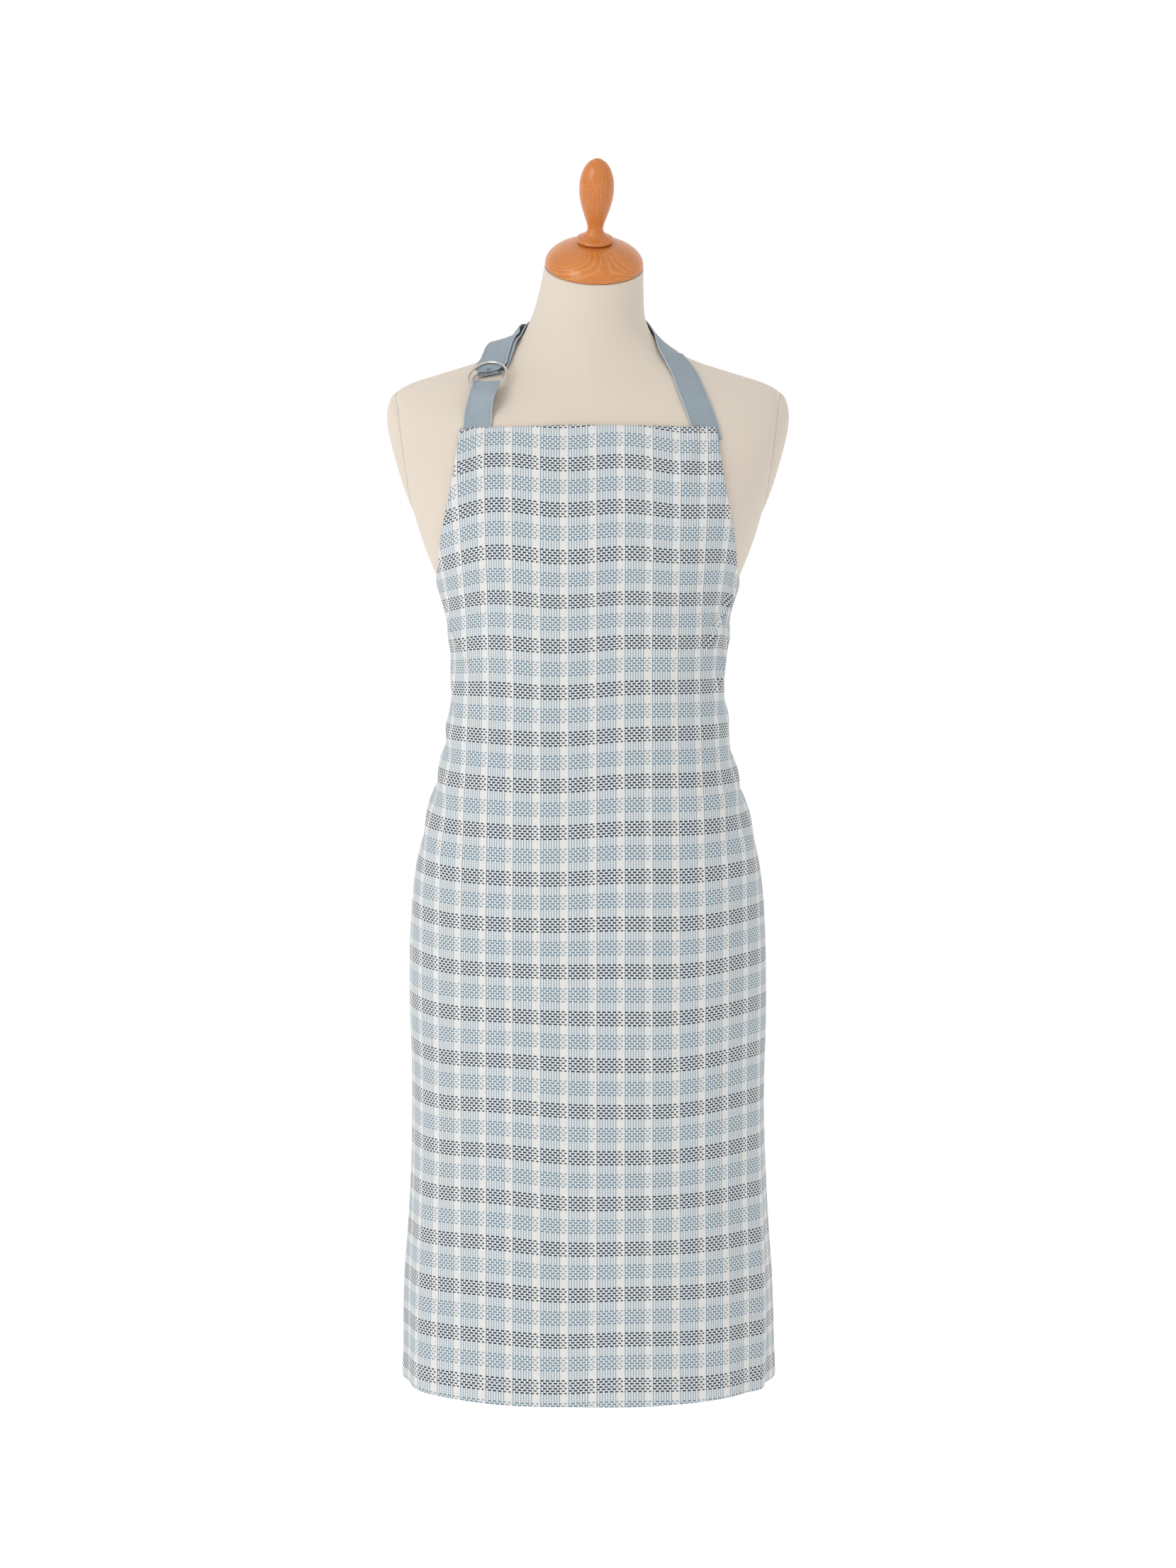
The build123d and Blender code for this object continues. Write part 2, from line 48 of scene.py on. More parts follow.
# Level, half width, depth to the front, depth to the back, flatness of front and back, flatness of
# the sides, centre's x, centre's y, forward tilt and sideways lean.
FORM = np.array([
    (0, 149, 100, 108, 2.25, 2.25, 0, 0, 0, 0),
    (60, 158, 104, 113, 2.25, 2.25, 0, 0, 0, 0),
    (124, 165, 107, 112, 2.25, 2.25, 0, 0, 0, 0),
    (185, 160, 104, 103, 2.25, 2.25, 0, 0, 0, 0),
    (239, 147, 98, 91, 2.25, 2.25, 0, 0, 0, 0),
    (294, 133, 90, 81, 2.25, 2.25, 0, 0, 0, 0),
    (370, 125, 84, 76, 2.25, 2.25, 0, 0, 0, 0),
    (417, 130, 90, 82, 2.3, 2.3, 0, 0, 0, 0),
    (453, 140, 101, 90, 2.35, 2.35, 0, 0, 0, 0),
    (483, 152, 109, 97, 2.4, 2.4, 0, 0, 0, 0),
    (526, 167, 106, 103, 2.45, 2.45, 0, 0, 0, 0),
    (568, 181, 94, 104, 2.4, 2.4, 0, 0, 0, 0),
    (609, 190, 77, 99, 2.15, 2, 0, 0, 0, 0),
    (633, 184, 65, 90, 1.7, 1.5, 0, 0, 0, 0),
    (644, 166, 60, 84, 1.55, 1.3, 0, 0, 0, 0),
    (652, 141, 56, 79, 1.5, 1.2, 0, 0, 0, 0),
    (665, 101, 51, 71, 1.6, 1.3, 0, 0, 1, 0),
    (683, 67, 48, 62, 1.8, 1.7, 0, 0, 4, 0),
    (702, 55, 46, 55, 2, 2, 0, -1, 9, 0.3),
    (727, 49.5, 45, 50, 2, 2, 3, -7, 17, 1),
    (753, 46.5, 45, 47, 2, 2, 5.7, -15, 25, 1.9),
], float)
ARM_CUT_X = 176
ARM_CUT_LEVEL = 600
ARM_CUT_TILT = 8

# The skirt under the hips: level, half width, front, back and flatness, on the cloth's inside.
SKIRT = np.array([
    (-300, 175.5, 110.5, 119.5, 2.25, 2.25),
    (-206, 173, 110.5, 119, 2.25, 2.25),
    (-138, 169, 110.5, 118.5, 2.25, 2.25),
    (-84, 166.5, 110.5, 118, 2.25, 2.25),
    (0, 166.5, 110.5, 117.5, 2.25, 2.25),
    (60, 168, 110.5, 117, 2.25, 2.25),
], float)
BIB_TOP = 604
HEM = -300
CLOTH_LIFT = 3.0  # from the jersey to the middle of the apron's cloth
CLOTH_INSIDE = 2.4  # from the jersey to the inside of the cloth
BIB_EDGE = [(118.4, 606), (123.5, 566), (130, 531), (135, 507), (138, 483), (139, 463)]
ARMHOLE = [(-35, 463), (0, 441), (40, 411), (70, 384), (92, 357)]
BACK_EDGE = [
    (14, 385), (17, 350), (36, 296), (73, 239), (105, 185), (121, 124), (123, 0), (127, -138), (138, -302),
]

STRAP_WIDTH = 27
STRAP = 1.2
RING_WIRE = 1.2
BAR_RADIUS = 15.05  # of the rear ring
FRONT_RADIUS = 18.3
REAR_CENTRE = (0.1, -3.6)  # up and outwards from the front ring's centre
REAR_TILT = 10
RING_CENTRE = Vector((-93.7, -48, 650))
RING_UP = Vector((0.20, 0.68, 0.70)).normalized()
RING_ACROSS = RING_UP.cross(Vector((-0.2, -0.65, 0.73))).normalized()
RING_OUT = RING_ACROSS.cross(RING_UP)
GATHER_FROM = 27  # how far above the rings the strap begins to gather
GATHER_OVER = 9
TIE_LEVEL = 341
TIE_LIFT = 4.5  # from the jersey to a tie's middle, over the apron's cloth
KNOT_Y = 90
KNOT_SQUARENESS = 0.55
LOOP_DROOP = 35
LOOP_START = 18.5
LOOP_THICKNESS = 1.0
TAIL_NARROW_FROM = 310  # above this level the tails are gathered into the knot
TAIL_GATHERED = 19


def hermite(low, high, rise_in, rise_out, t):
    """A smooth curve from low to high, with those rises over the whole span at its two ends."""
    return (
        (2 * t**3 - 3 * t**2 + 1) * low
        + (t**3 - 2 * t**2 + t) * rise_in
        + (3 * t**2 - 2 * t**3) * high
        + (t**3 - t**2) * rise_out
    )


def row_at(level, table=FORM):
    """The table's row at that level, on a smooth curve through its rows."""
    last = len(table) - 1
    i = int(np.clip(np.searchsorted(table[:, 0], level, side="left") - 1, 0, last - 1))
    low, high = table[i], table[i + 1]
    before, after = table[max(i - 1, 0)], table[min(i + 2, last)]
    span = high[0] - low[0]
    rise_in = (high - before) / (high[0] - before[0]) * span
    rise_out = (after - low) / (after[0] - low[0]) * span
    row = hermite(low, high, rise_in, rise_out, (level - low[0]) / span)
    row[0] = level
    return row


def grown(row, amount, table=FORM):
    """The row moved outwards by that amount, measured square to the surface."""
    step = 2
    above = row_at(min(row[0] + step, table[-1][0]), table)
    below = row_at(max(row[0] - step, table[0][0]), table)
    out = row.copy()
    out[1:4] += amount * np.hypot(1, (above[1:4] - below[1:4]) / (above[0] - below[0]))
    return out


def outline(row, turns):
    """Points of a section's outline at those turns, in its own plane; -90 is the front."""
    c, s = np.cos(np.radians(turns)), np.sin(np.radians(turns))
    x = np.copysign(np.abs(c) ** (2 / row[4]), c) * row[1]
    y = np.copysign(np.abs(s) ** (2 / row[5]), s) * np.where(s < 0, row[2], row[3])
    return x, y


def section_frame(row):
    """A section's centre and its own x, y and z directions."""
    tilt, lean = radians(row[8]), radians(row[9])
    x_axis = np.array((cos(lean), 0, -sin(lean)))
    z_axis = np.array((sin(lean) * cos(tilt), -sin(tilt), cos(lean) * cos(tilt)))
    return np.array((row[6], row[7], row[0])), x_axis, np.cross(z_axis, x_axis), z_axis


def section(level, turns, lift):
    """Points at those turns of the form's section, lifted off the surface."""
    row = row_at(level)
    x, y = outline(grown(row, lift), turns)
    origin, x_axis, y_axis, _ = section_frame(row)
    return origin + np.outer(x, x_axis) + np.outer(y, y_axis)


def skin(level, turn, lift):
    """One point of the form's section, lifted off the surface."""
    return Vector(section(level, np.array([turn], float), lift)[0])


def skin_normal(level, turn):
    """The surface's outward direction there."""
    round_ = skin(level, turn + 1, 0) - skin(level, turn - 1, 0)
    up = skin(level + 1, turn, 0) - skin(level - 1, turn, 0)
    return round_.cross(up).normalized()


def front_turn(level, x):
    """The turn at which the front of the form's section has that x."""
    row = row_at(level)
    share = min(abs(x) / row[1], 1)
    turn = np.degrees(np.arccos(share ** (row[4] / 2)))
    return -turn if x > 0 else 180 + turn


def through(points, values):
    """Values on a smooth curve through (value, level) points, read at the given levels."""
    data = np.array(sorted((level, value) for value, level in points), float)
    slopes = np.gradient(data[:, 1], data[:, 0])
    i = np.clip(np.searchsorted(data[:, 0], values) - 1, 0, len(data) - 2)
    span = data[i + 1, 0] - data[i, 0]
    t = np.clip((values - data[i, 0]) / span, 0, 1)
    return hermite(data[i, 1], data[i + 1, 1], slopes[i] * span, slopes[i + 1] * span, t)


# ---- Meshes --------------------------------------------------------------------------------------

def linked(name, mesh):
    """A smooth-shaded object of that mesh, in the scene."""
    mesh.polygons.foreach_set("use_smooth", [True] * len(mesh.polygons))
    mesh.update()
    made = bpy.data.objects.new(name, mesh)
    bpy.context.scene.collection.objects.link(made)
    return made


def make_object(name, vertices, faces, uv=None):
    """A mesh object from points in millimetres; uv holds one pair per vertex, in metres."""
    mesh = bpy.data.meshes.new(name)
    mesh.from_pydata([tuple(float(c) * MM for c in v) for v in vertices], [], faces)
    if uv is not None:
        layer = mesh.uv_layers.new(name="cloth")
        corner = np.empty(len(mesh.loops), int)
        mesh.loops.foreach_get("vertex_index", corner)
        layer.data.foreach_set("uv", np.asarray(uv, float)[corner].ravel())
    return linked(name, mesh)


def finish_piece(piece, material, body, replaced=()):
    """Gives a piece its material and slot, makes it ride on its body and stand for CAD nodes."""
    piece.data.materials.clear()
    piece.data.materials.append(material)
    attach(piece, body)
    if replaced:
        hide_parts(*replaced)
    return piece


def joined(name, parts):
    """One object from several (vertices, faces, uv) sets."""
    vertices, faces, uvs = [], [], []
    for points, polygons, uv in parts:
        base = len(vertices)
        vertices.extend(points)
        faces.extend([tuple(base + i for i in polygon) for polygon in polygons])
        uvs.extend(uv)
    return make_object(name, vertices, faces, uvs)


def grid_faces(rows, columns, base=0, closed=False, wrapped=False, flip=False):
    """Quads of a grid of vertices, row by row. In a closed grid each row is a loop, and a
    wrapped grid's last row meets its first."""
    faces = []
    for r in range(rows if wrapped else rows - 1):
        here, there = base + r * columns, base + (r + 1) % rows * columns
        for c in range(columns if closed else columns - 1):
            d = (c + 1) % columns
            quad = (here + c, here + d, there + d, there + c)
            faces.append(quad[::-1] if flip else quad)
    return faces


def grid_normals(points):
    """Unit normals of a grid of points."""
    along = np.gradient(points, axis=0)
    across = np.gradient(points, axis=1)
    normals = np.cross(across, along)
    return normals / np.linalg.norm(normals, axis=2, keepdims=True)


def thick_sheet(name, points, outer, inner, uv):
    """A closed sheet: the grid's outer side stands out by outer and its inner side in by inner."""
    rows, columns = points.shape[:2]
    normals = grid_normals(points)
    front = (points + normals * outer[..., None]).reshape(-1, 3)
    back = (points - normals * inner[..., None]).reshape(-1, 3)
    count = rows * columns
    faces = grid_faces(rows, columns) + grid_faces(rows, columns, count, flip=True)
    top = list(range((rows - 1) * columns, count))
    bottom = list(range(columns))
    left = list(range(0, count, columns))
    right = list(range(columns - 1, count, columns))
    for line, turned in ((bottom, True), (top, False), (left, False), (right, True)):
        for a, b in zip(line, line[1:]):
            quad = (a, b, b + count, a + count)
            faces.append(quad[::-1] if turned else quad)
    flat = uv.reshape(-1, 2)
    return make_object(name, np.vstack((front, back)), faces, np.vstack((flat, flat)))


def catmull(rows, step):
    """Rows of numbers on a smooth curve through the given ones, about step apart."""
    rows = np.asarray(rows, float)
    padded = np.vstack((2 * rows[0] - rows[1], rows, 2 * rows[-1] - rows[-2]))
    out = []
    for i in range(1, len(rows)):
        before, low, high, after = padded[i - 1 : i + 3]
        count = max(1, int(round(np.linalg.norm(high[:3] - low[:3]) / step)))
        for k in range(count):
            out.append(hermite(low, high, (high - before) / 2, (after - low) / 2, k / count))
    out.append(rows[-1])
    return np.array(out)


# Across half a tape: the folded edge is thicker, and its stitching pulls a groove beside it.
TAPE_ACROSS = np.array([0, 0.25, 0.5, 0.64, 0.72, 0.77, 0.80, 0.83, 0.87, 0.92, 0.965, 0.99, 1.0])
TAPE_GROOVE = 0.80
GROOVE_WIDTH = 0.02
TAPE_STEP = 2.2  # from one row of a tape's mesh to the next
STITCH_INSET = 2.3  # from a tape's edge to its stitches
# Each thread's stitch length, gap and radius.
TAPE_STITCHES = (2.1, 1.0, 0.19)
HEM_STITCHES = (2.6, 1.3, 0.18)
STRAP_TACKS = (2.6, 1.9, 0.5)


def tape_frames(rows):
    """Evenly spaced frames along a tape: centres, directions out and across, widths,
    thicknesses and the distance covered. Rows hold centre, outward, width and thickness."""
    flat = [(*centre, *outward, width, thickness) for centre, outward, width, thickness in rows]
    fine = catmull(flat, TAPE_STEP)
    centre, out = fine[:, :3], fine[:, 3:6]
    along = np.gradient(centre, axis=0)
    along /= np.linalg.norm(along, axis=1, keepdims=True)
    out = out - along * np.sum(out * along, axis=1, keepdims=True)
    out /= np.linalg.norm(out, axis=1, keepdims=True)
    run = np.concatenate(([0], np.cumsum(np.linalg.norm(np.diff(centre, axis=0), axis=1))))
    return centre, out, np.cross(out, along), fine[:, 6], fine[:, 7], run


def tape_mesh(rows, bend=None):
    """A sewn tape along the rows; bend moves each of its points."""
    centre, out, across, width, thick, run = tape_frames(rows)
    side = np.concatenate((-TAPE_ACROSS[::-1], TAPE_ACROSS[1:]))
    reach = np.abs(side)
    rounded = np.sqrt(np.clip(1 - reach**10, 0.02, 1))
    ridge = 0.22 * (reach > TAPE_GROOVE) * (reach < 1)
    ridge = (ridge - 0.22 * np.exp(-((reach - TAPE_GROOVE) / GROOVE_WIDTH) ** 2)) * (rounded > 0.4)
    count, columns = len(centre), len(side)
    vertices, uvs = [], []
    for i in range(count):
        for sign, order in ((1, range(columns)), (-1, range(columns - 1, -1, -1))):
            for j in order:
                rise = sign * (thick[i] / 2 * rounded[j] + ridge[j])
                point = centre[i] + across[i] * side[j] * width[i] / 2 + out[i] * rise
                vertices.append(bend(point) if bend else point)
                uvs.append((side[j] * width[i] / 2 * MM, run[i] * MM))
    loop = 2 * columns
    faces = grid_faces(count, loop, closed=True)
    faces.append(tuple(range(loop - 1, -1, -1)))
    faces.append(tuple((count - 1) * loop + k for k in range(loop)))
    return vertices, faces, uvs


def stitch_line(points, normals, length, gap, radius):
    """A row of stitches laid along a polyline of points, each a small rounded thread."""
    points, normals = np.asarray(points, float), np.asarray(normals, float)
    run = np.concatenate(([0], np.cumsum(np.linalg.norm(np.diff(points, axis=0), axis=1))))
    shares = [(-0.5, 0.25, -0.35), (-0.34, 0.85, 0), (0, 1, 0.12), (0.34, 0.85, 0), (0.5, 0.25, -0.35)]
    sides = 6
    parts = []
    at = gap
    while at + length < run[-1]:
        frame_at = []
        for share, fat, lift in shares:
            s = at + length * (0.5 + share)
            centre = np.array([np.interp(s, run, points[:, k]) for k in range(3)])
            normal = np.array([np.interp(s, run, normals[:, k]) for k in range(3)])
            normal /= np.linalg.norm(normal)
            frame_at.append((centre + normal * (lift * radius * 2), normal, fat * radius))
        direction = frame_at[-1][0] - frame_at[0][0]
        direction /= np.linalg.norm(direction)
        vertices = []
        for centre, normal, r in frame_at:
            across = np.cross(normal, direction)
            for k in range(sides):
                turn = 2 * pi * k / sides
                vertices.append(centre + (across * cos(turn) + normal * sin(turn)) * r)
        faces = grid_faces(len(shares), sides, closed=True)
        faces.append(tuple(range(sides - 1, -1, -1)))
        faces.append(tuple((len(shares) - 1) * sides + k for k in range(sides)))
        parts.append((vertices, faces, [(0.0, at * MM)] * len(vertices)))
        at += length + gap
    return parts


def edge_stitches(rows, side, bend=None, face=1):
    """Stitches along one edge of a tape, on its outer side or, with face -1, its inner side."""
    centre, out, across, width, thick, _ = tape_frames(rows)
    points = []
    for i in range(len(centre)):
        share = side * (1 - 2 * STITCH_INSET / width[i])
        point = centre[i] + across[i] * share * width[i] / 2 + out[i] * face * thick[i] / 2
        points.append(bend(point) if bend else point)
    return stitch_line(points, out * face, *TAPE_STITCHES)


# ---- Materials -----------------------------------------------------------------------------------


class Field:
    """A value in a material's node tree, so that a pattern can be written as arithmetic."""

    def __init__(self, tree, socket):
        self.tree = tree
        self.socket = socket

    def apply(self, operation, *others):
        node = self.tree.nodes.new("ShaderNodeMath")
        node.operation = operation
        for value, entry in zip((self, *others), node.inputs):
            plug(value, entry)
        return Field(self.tree, node.outputs[0])

    def __add__(self, other):
        return self.apply("ADD", other)

    def __sub__(self, other):
        return self.apply("SUBTRACT", other)

    def __mul__(self, other):
        return self.apply("MULTIPLY", other)

    def __truediv__(self, other):
        return self.apply("DIVIDE", other)

    def __rsub__(self, other):
        return (self * -1) + other

    def part(self, period):
        """Where the value lies in its period, from 0 to 1."""
        return (self / period).apply("FRACT")

    def above(self, limit):
        return self.apply("GREATER_THAN", limit)

    def window(self, centre, half, soft):
        """1 within half of the centre, falling to 0 over soft."""
        off = (self - centre).apply("ABSOLUTE")
        return ((half - off) / soft + 0.5).smaller(1.0).larger(0.0)

    def smaller(self, other):
        return self.apply("MINIMUM", other)

    def larger(self, other):
        return self.apply("MAXIMUM", other)


def plug(value, entry):
    """Links a field to a socket, or sets a plain number on it."""
    if isinstance(value, Field):
        value.tree.links.new(value.socket, entry)
    else:
        entry.default_value = value


def new_material(name, **values):
    """A material with one Principled shader and the given constant values on it."""
    material = bpy.data.materials.new(name)
    material.use_nodes = True
    shader = material.node_tree.nodes["Principled BSDF"]
    for key, value in values.items():
        shader.inputs[key.replace("_", " ")].default_value = value
    return material, material.node_tree, shader


def mixed(share, first, second):
    """A colour between two, each a colour or a field."""
    node = share.tree.nodes.new("ShaderNodeMix")
    node.data_type = "RGBA"
    plug(share, node.inputs[0])
    for value, entry in ((first, node.inputs[6]), (second, node.inputs[7])):
        plug(value if isinstance(value, Field) else (*value, 1), entry)
    return Field(share.tree, node.outputs[2])


def coordinates(vector):
    """A vector field's x, y and z as fields in millimetres."""
    parts = vector.tree.nodes.new("ShaderNodeSeparateXYZ")
    plug(vector, parts.inputs[0])
    return [Field(vector.tree, output) * (1 / MM) for output in parts.outputs]


def cloth_place(tree):
    """Where a point lies on its flat cloth, in millimetres across and along."""
    node = tree.nodes.new("ShaderNodeUVMap")
    node.uv_map = "cloth"
    return coordinates(Field(tree, node.outputs[0]))[:2]


def object_place(tree):
    """The point's own coordinates in the object, as one vector field in metres."""
    return Field(tree, tree.nodes.new("ShaderNodeTexCoord").outputs["Object"])


def vector_of(x, y, z):
    """A vector field of three fields or numbers."""
    node = x.tree.nodes.new("ShaderNodeCombineXYZ")
    for value, entry in zip((x, y, z), node.inputs):
        plug(value, entry)
    return Field(x.tree, node.outputs[0])


def noise(vector, scale, detail=2.0, roughness=0.5):
    """Blender's noise at that vector field, from 0 to 1."""
    node = vector.tree.nodes.new("ShaderNodeTexNoise")
    for name, value in (("Vector", vector), ("Scale", scale), ("Detail", detail), ("Roughness", roughness)):
        plug(value, node.inputs[name])
    return Field(vector.tree, node.outputs["Fac"])


def bump(shader, height, strength, distance):
    """Raises the surface by a field, on the shader's normal."""
    node = height.tree.nodes.new("ShaderNodeBump")
    for name, value in (("Strength", strength), ("Distance", distance), ("Height", height)):
        plug(value, node.inputs[name])
    height.tree.links.new(node.outputs[0], shader.inputs["Normal"])


# The check: eight blue warp lines and a white band across, four bands of weft rows down.
LINE = 2.45
CHECK_WIDTH = 25.9
BLUE_BLOCK = 8 * LINE
ROWS_PER_CHECK = 18
BAND_ROWS = 6
CHECKS_DOWN = 21.33  # from the bib's top to the hem
NAVY_FROM = 31.5  # how far below the bib's top the first navy band begins
BLOCK_FROM = 7.2  # where a blue block begins, right of the middle
WHITE_YARN = (0.64, 0.638, 0.62)
BLUE_YARN = (0.128, 0.21, 0.258)
PALE_YARN = (0.473, 0.549, 0.607)
NAVY_YARN = (0.012, 0.016, 0.032)
TWILL_DARK = (0.2, 0.248, 0.283)
TWILL_LIGHT = (0.331, 0.39, 0.43)


def check_material(check_length):
    """The apron's woven check, in cloth coordinates; check_length is one repeat down."""
    material, tree, shader = new_material(
        "woven_check", Roughness=0.85, Specular_IOR_Level=0.25, Sheen_Weight=0.15, Sheen_Roughness=0.5
    )
    u, v = cloth_place(tree)
    x = (u + 100 * CHECK_WIDTH - BLOCK_FROM).part(CHECK_WIDTH) * CHECK_WIDTH
    row = (v + check_length - NAVY_FROM).part(check_length) * ROWS_PER_CHECK
    row_number = row.apply("FLOOR")
    in_row = row.apply("FRACT")
    odd = row_number.part(2).above(0.25)

    in_block = x.window(BLUE_BLOCK / 2 - 0.1, BLUE_BLOCK / 2 - 0.2, 0.5)
    line_number = (x / LINE).apply("FLOOR")
    sway = (in_row - 0.5) * (line_number.part(2).above(0.25) * 0.9 - 0.45)
    line = (x.part(LINE) * LINE + sway).window(LINE / 2, 0.42, 0.35)
    line_break = 1 - (in_row.window(0.02, 0.10, 0.16).larger(in_row.window(0.98, 0.10, 0.16))) * 0.7
    warp = line * line_break * in_block

    shifted = x - odd * LINE
    reach = (shifted + 10 * LINE).part(2 * LINE) * (2 * LINE)
    dash_long = reach.window(0.45 * 2 * LINE, 1.40, 0.35)
    dash_tall = in_row.window(0.5, 0.30, 0.12)
    inside = x.window(CHECK_WIDTH / 2 - 0.2, CHECK_WIDTH / 2 - 0.75, 0.2)
    dash = dash_long * dash_tall * inside
    thin_dash = dash_long * in_row.window(0.5, 0.27, 0.12) * inside
    navy_rows = row.window(BAND_ROWS / 2, BAND_ROWS / 2, 0.02)
    blue_rows = row.window(BAND_ROWS * 2, BAND_ROWS / 2, 0.02)

    place = object_place(tree)
    slub = noise(place, 900, 1.0)
    patch = noise(place, 9, 2.0)
    ground = mixed(in_block * 0.28, WHITE_YARN, PALE_YARN)
    ground = mixed((slub - 0.45) * 0.35, ground, (0.70, 0.70, 0.70))
    ground = mixed((patch - 0.5) * 0.16 + 0.04, ground, (0.72, 0.69, 0.66))
    colour = mixed(warp * 0.92, ground, BLUE_YARN)
    rib = in_row.window(0.5, 0.33, 0.25)
    colour = mixed((1 - rib) * 0.10, colour, (0.45, 0.48, 0.52))
    blue_dash = (dash * in_block * 0.95).larger(thin_dash * (1 - in_block) * 0.8)
    colour = mixed(blue_dash * blue_rows, colour, (0.129, 0.211, 0.267))
    navy_dash = (dash * in_block).larger(thin_dash * (1 - in_block) * 0.97)
    colour = mixed(navy_dash * navy_rows, colour, NAVY_YARN)
    plug(colour, shader.inputs["Base Color"])

    dashes = dash * (navy_rows + blue_rows)
    relief = line * line_break * 0.5 + dashes * 0.8 + rib * 0.35 + slub * 0.25
    bump(shader, relief, 0.55, 0.00035)
    return material


def twill_material():
    """Blue-grey twill tape: steep diagonal ribs, pale flecks, a painted highlight along the folded edges and
    painted shade in the stitched grooves beside them.
    """
    material, tree, shader = new_material(
        "blue_twill", Roughness=0.8, Specular_IOR_Level=0.25, Sheen_Weight=0.25, Sheen_Roughness=0.4
    )
    u, v = cloth_place(tree)
    rib = ((u * 0.8 + v) * (2 * pi / 0.62)).apply("SINE") * 0.5 + 0.5
    thread = (u * (2 * pi / 0.45)).apply("SINE") * 0.5 + 0.5
    place = object_place(tree)
    fleck = noise(place, 1400, 1.0, 0.6)
    cloud = noise(place, 45, 2.0)
    share = rib * 0.30 + thread * 0.15 + (fleck - 0.5) * 1.3 + (cloud - 0.5) * 0.4 + 0.28
    colour = mixed(share.larger(0.0).smaller(1.0), TWILL_DARK, TWILL_LIGHT)
    edge = u.apply("ABSOLUTE")
    # Painted highlight: the rounded folded edges are paled as if lit.
    edge_highlight = edge.window(STRAP_WIDTH / 2, 0.55, 0.5)
    colour = mixed(edge_highlight * 0.5, colour, (0.62, 0.66, 0.74))
    # Painted shade: a dark line along the groove that the edge stitching pulls beside each edge.
    seam = edge.window(STRAP_WIDTH / 2 - 2.6, 0.3, 0.4)
    colour = mixed(seam * 0.25, colour, (0.16, 0.20, 0.24))
    plug(colour, shader.inputs["Base Color"])
    bump(shader, rib * 0.6 + fleck * 0.6, 0.35, 0.0003)
    return material


def jersey_material():
    """Fine cream jersey, stretched smooth, a little greyer in places."""
    material, tree, shader = new_material(
        "cream_jersey", Roughness=0.9, Specular_IOR_Level=0.2, Sheen_Weight=0.2, Sheen_Roughness=0.6
    )
    place = object_place(tree)
    x, y, z = coordinates(place)
    tone = noise(place, 6, 2.0)
    fibre = noise(place, 1100, 1.0, 0.6)
    colour = mixed((tone - 0.35) * 1.4, (0.631, 0.56, 0.473), (0.605, 0.516, 0.435))
    colour = mixed((fibre - 0.5) * 0.30 + 0.06, colour, (0.468, 0.405, 0.342))
    plug(colour, shader.inputs["Base Color"])
    wale = ((x + y * 0.7) * (2 * pi / 0.9)).apply("SINE")
    course = (z * (2 * pi / 0.7)).apply("SINE")
    bump(shader, wale * course * 0.5 + fibre, 0.18, 0.0002)
    return material


def beech_material(name, grain, pith, spacing, rings):
    """Turned beech: growth rings round a pith line that runs along grain, and short dark rays."""
    material, tree, shader = new_material(
        name, Roughness=0.36, Specular_IOR_Level=0.4, Coat_Weight=0.3, Coat_Roughness=0.09
    )
    place = object_place(tree)
    mapping = tree.nodes.new("ShaderNodeMapping")
    mapping.vector_type = "TEXTURE"
    mapping.inputs["Location"].default_value = [c * MM for c in pith]
    mapping.inputs["Rotation"].default_value = Vector(grain).normalized().to_track_quat("Z", "Y").to_euler()
    plug(place, mapping.inputs["Vector"])
    gx, gy, gz = coordinates(Field(tree, mapping.outputs[0]))
    drift = noise(vector_of(gx * 0.02, gy * 0.02, gz * 0.008), 1.0, 2.0)
    radius = (gx * gx + gy * gy).apply("SQRT") + (drift - 0.5) * 9
    uneven = noise(vector_of(radius * 0.11, 0.0, 0.0), 1.0, 2.0)
    ring = (radius + (uneven - 0.5) * 5).part(spacing).window(0.5, 0.12, 0.3)
    fine = noise(vector_of(gx * 2.2, gy * 2.2, gz * 0.20), 1.0, 3.0, 0.65)
    ray = noise(vector_of(gx * 3.4, gy * 3.4, gz * 0.55), 1.0, 0.0)
    flecks = ray.window(0.79, 0.12, 0.06)
    tone = noise(vector_of(gx * 0.035, gy * 0.035, gz * 0.015), 1.0, 1.0)
    colour = mixed(tone, (0.65, 0.225, 0.038), (0.50, 0.138, 0.020))
    colour = mixed((fine - 0.42) * 1.9, colour, (0.36, 0.095, 0.020))
    colour = mixed(ring * 0.42 * rings, colour, (0.78, 0.36, 0.10))
    colour = mixed(flecks * 0.6, colour, (0.17, 0.045, 0.014))
    plug(colour, shader.inputs["Base Color"])
    bump(shader, fine * 0.5 - flecks, 0.10, 0.0002)
    return material


def nickel_material():
    """Polished nickel wire with faint scratches."""
    material, tree, shader = new_material("nickel_wire", Metallic=1.0, Specular_IOR_Level=0.5)
    shader.inputs["Base Color"].default_value = (0.62, 0.58, 0.53, 1)
    place = object_place(tree)
    scratch = noise(place, 700, 2.0)
    rough = scratch * 0.12 + 0.14
    plug(rough, shader.inputs["Roughness"])
    bump(shader, scratch, 0.05, 0.0001)
    return material


def grained_material(name, colour, second, scale, roughness, metallic=0.0, strength=0.1):
    """A plain material with a procedural mottle and a matching fine bump."""
    material, tree, shader = new_material(name, Metallic=metallic, Roughness=roughness)
    place = object_place(tree)
    grain = noise(place, scale, 3.0)
    tone = mixed(grain, colour, second)
    plug(tone, shader.inputs["Base Color"])
    bump(shader, grain, strength, 0.0003)
    return material


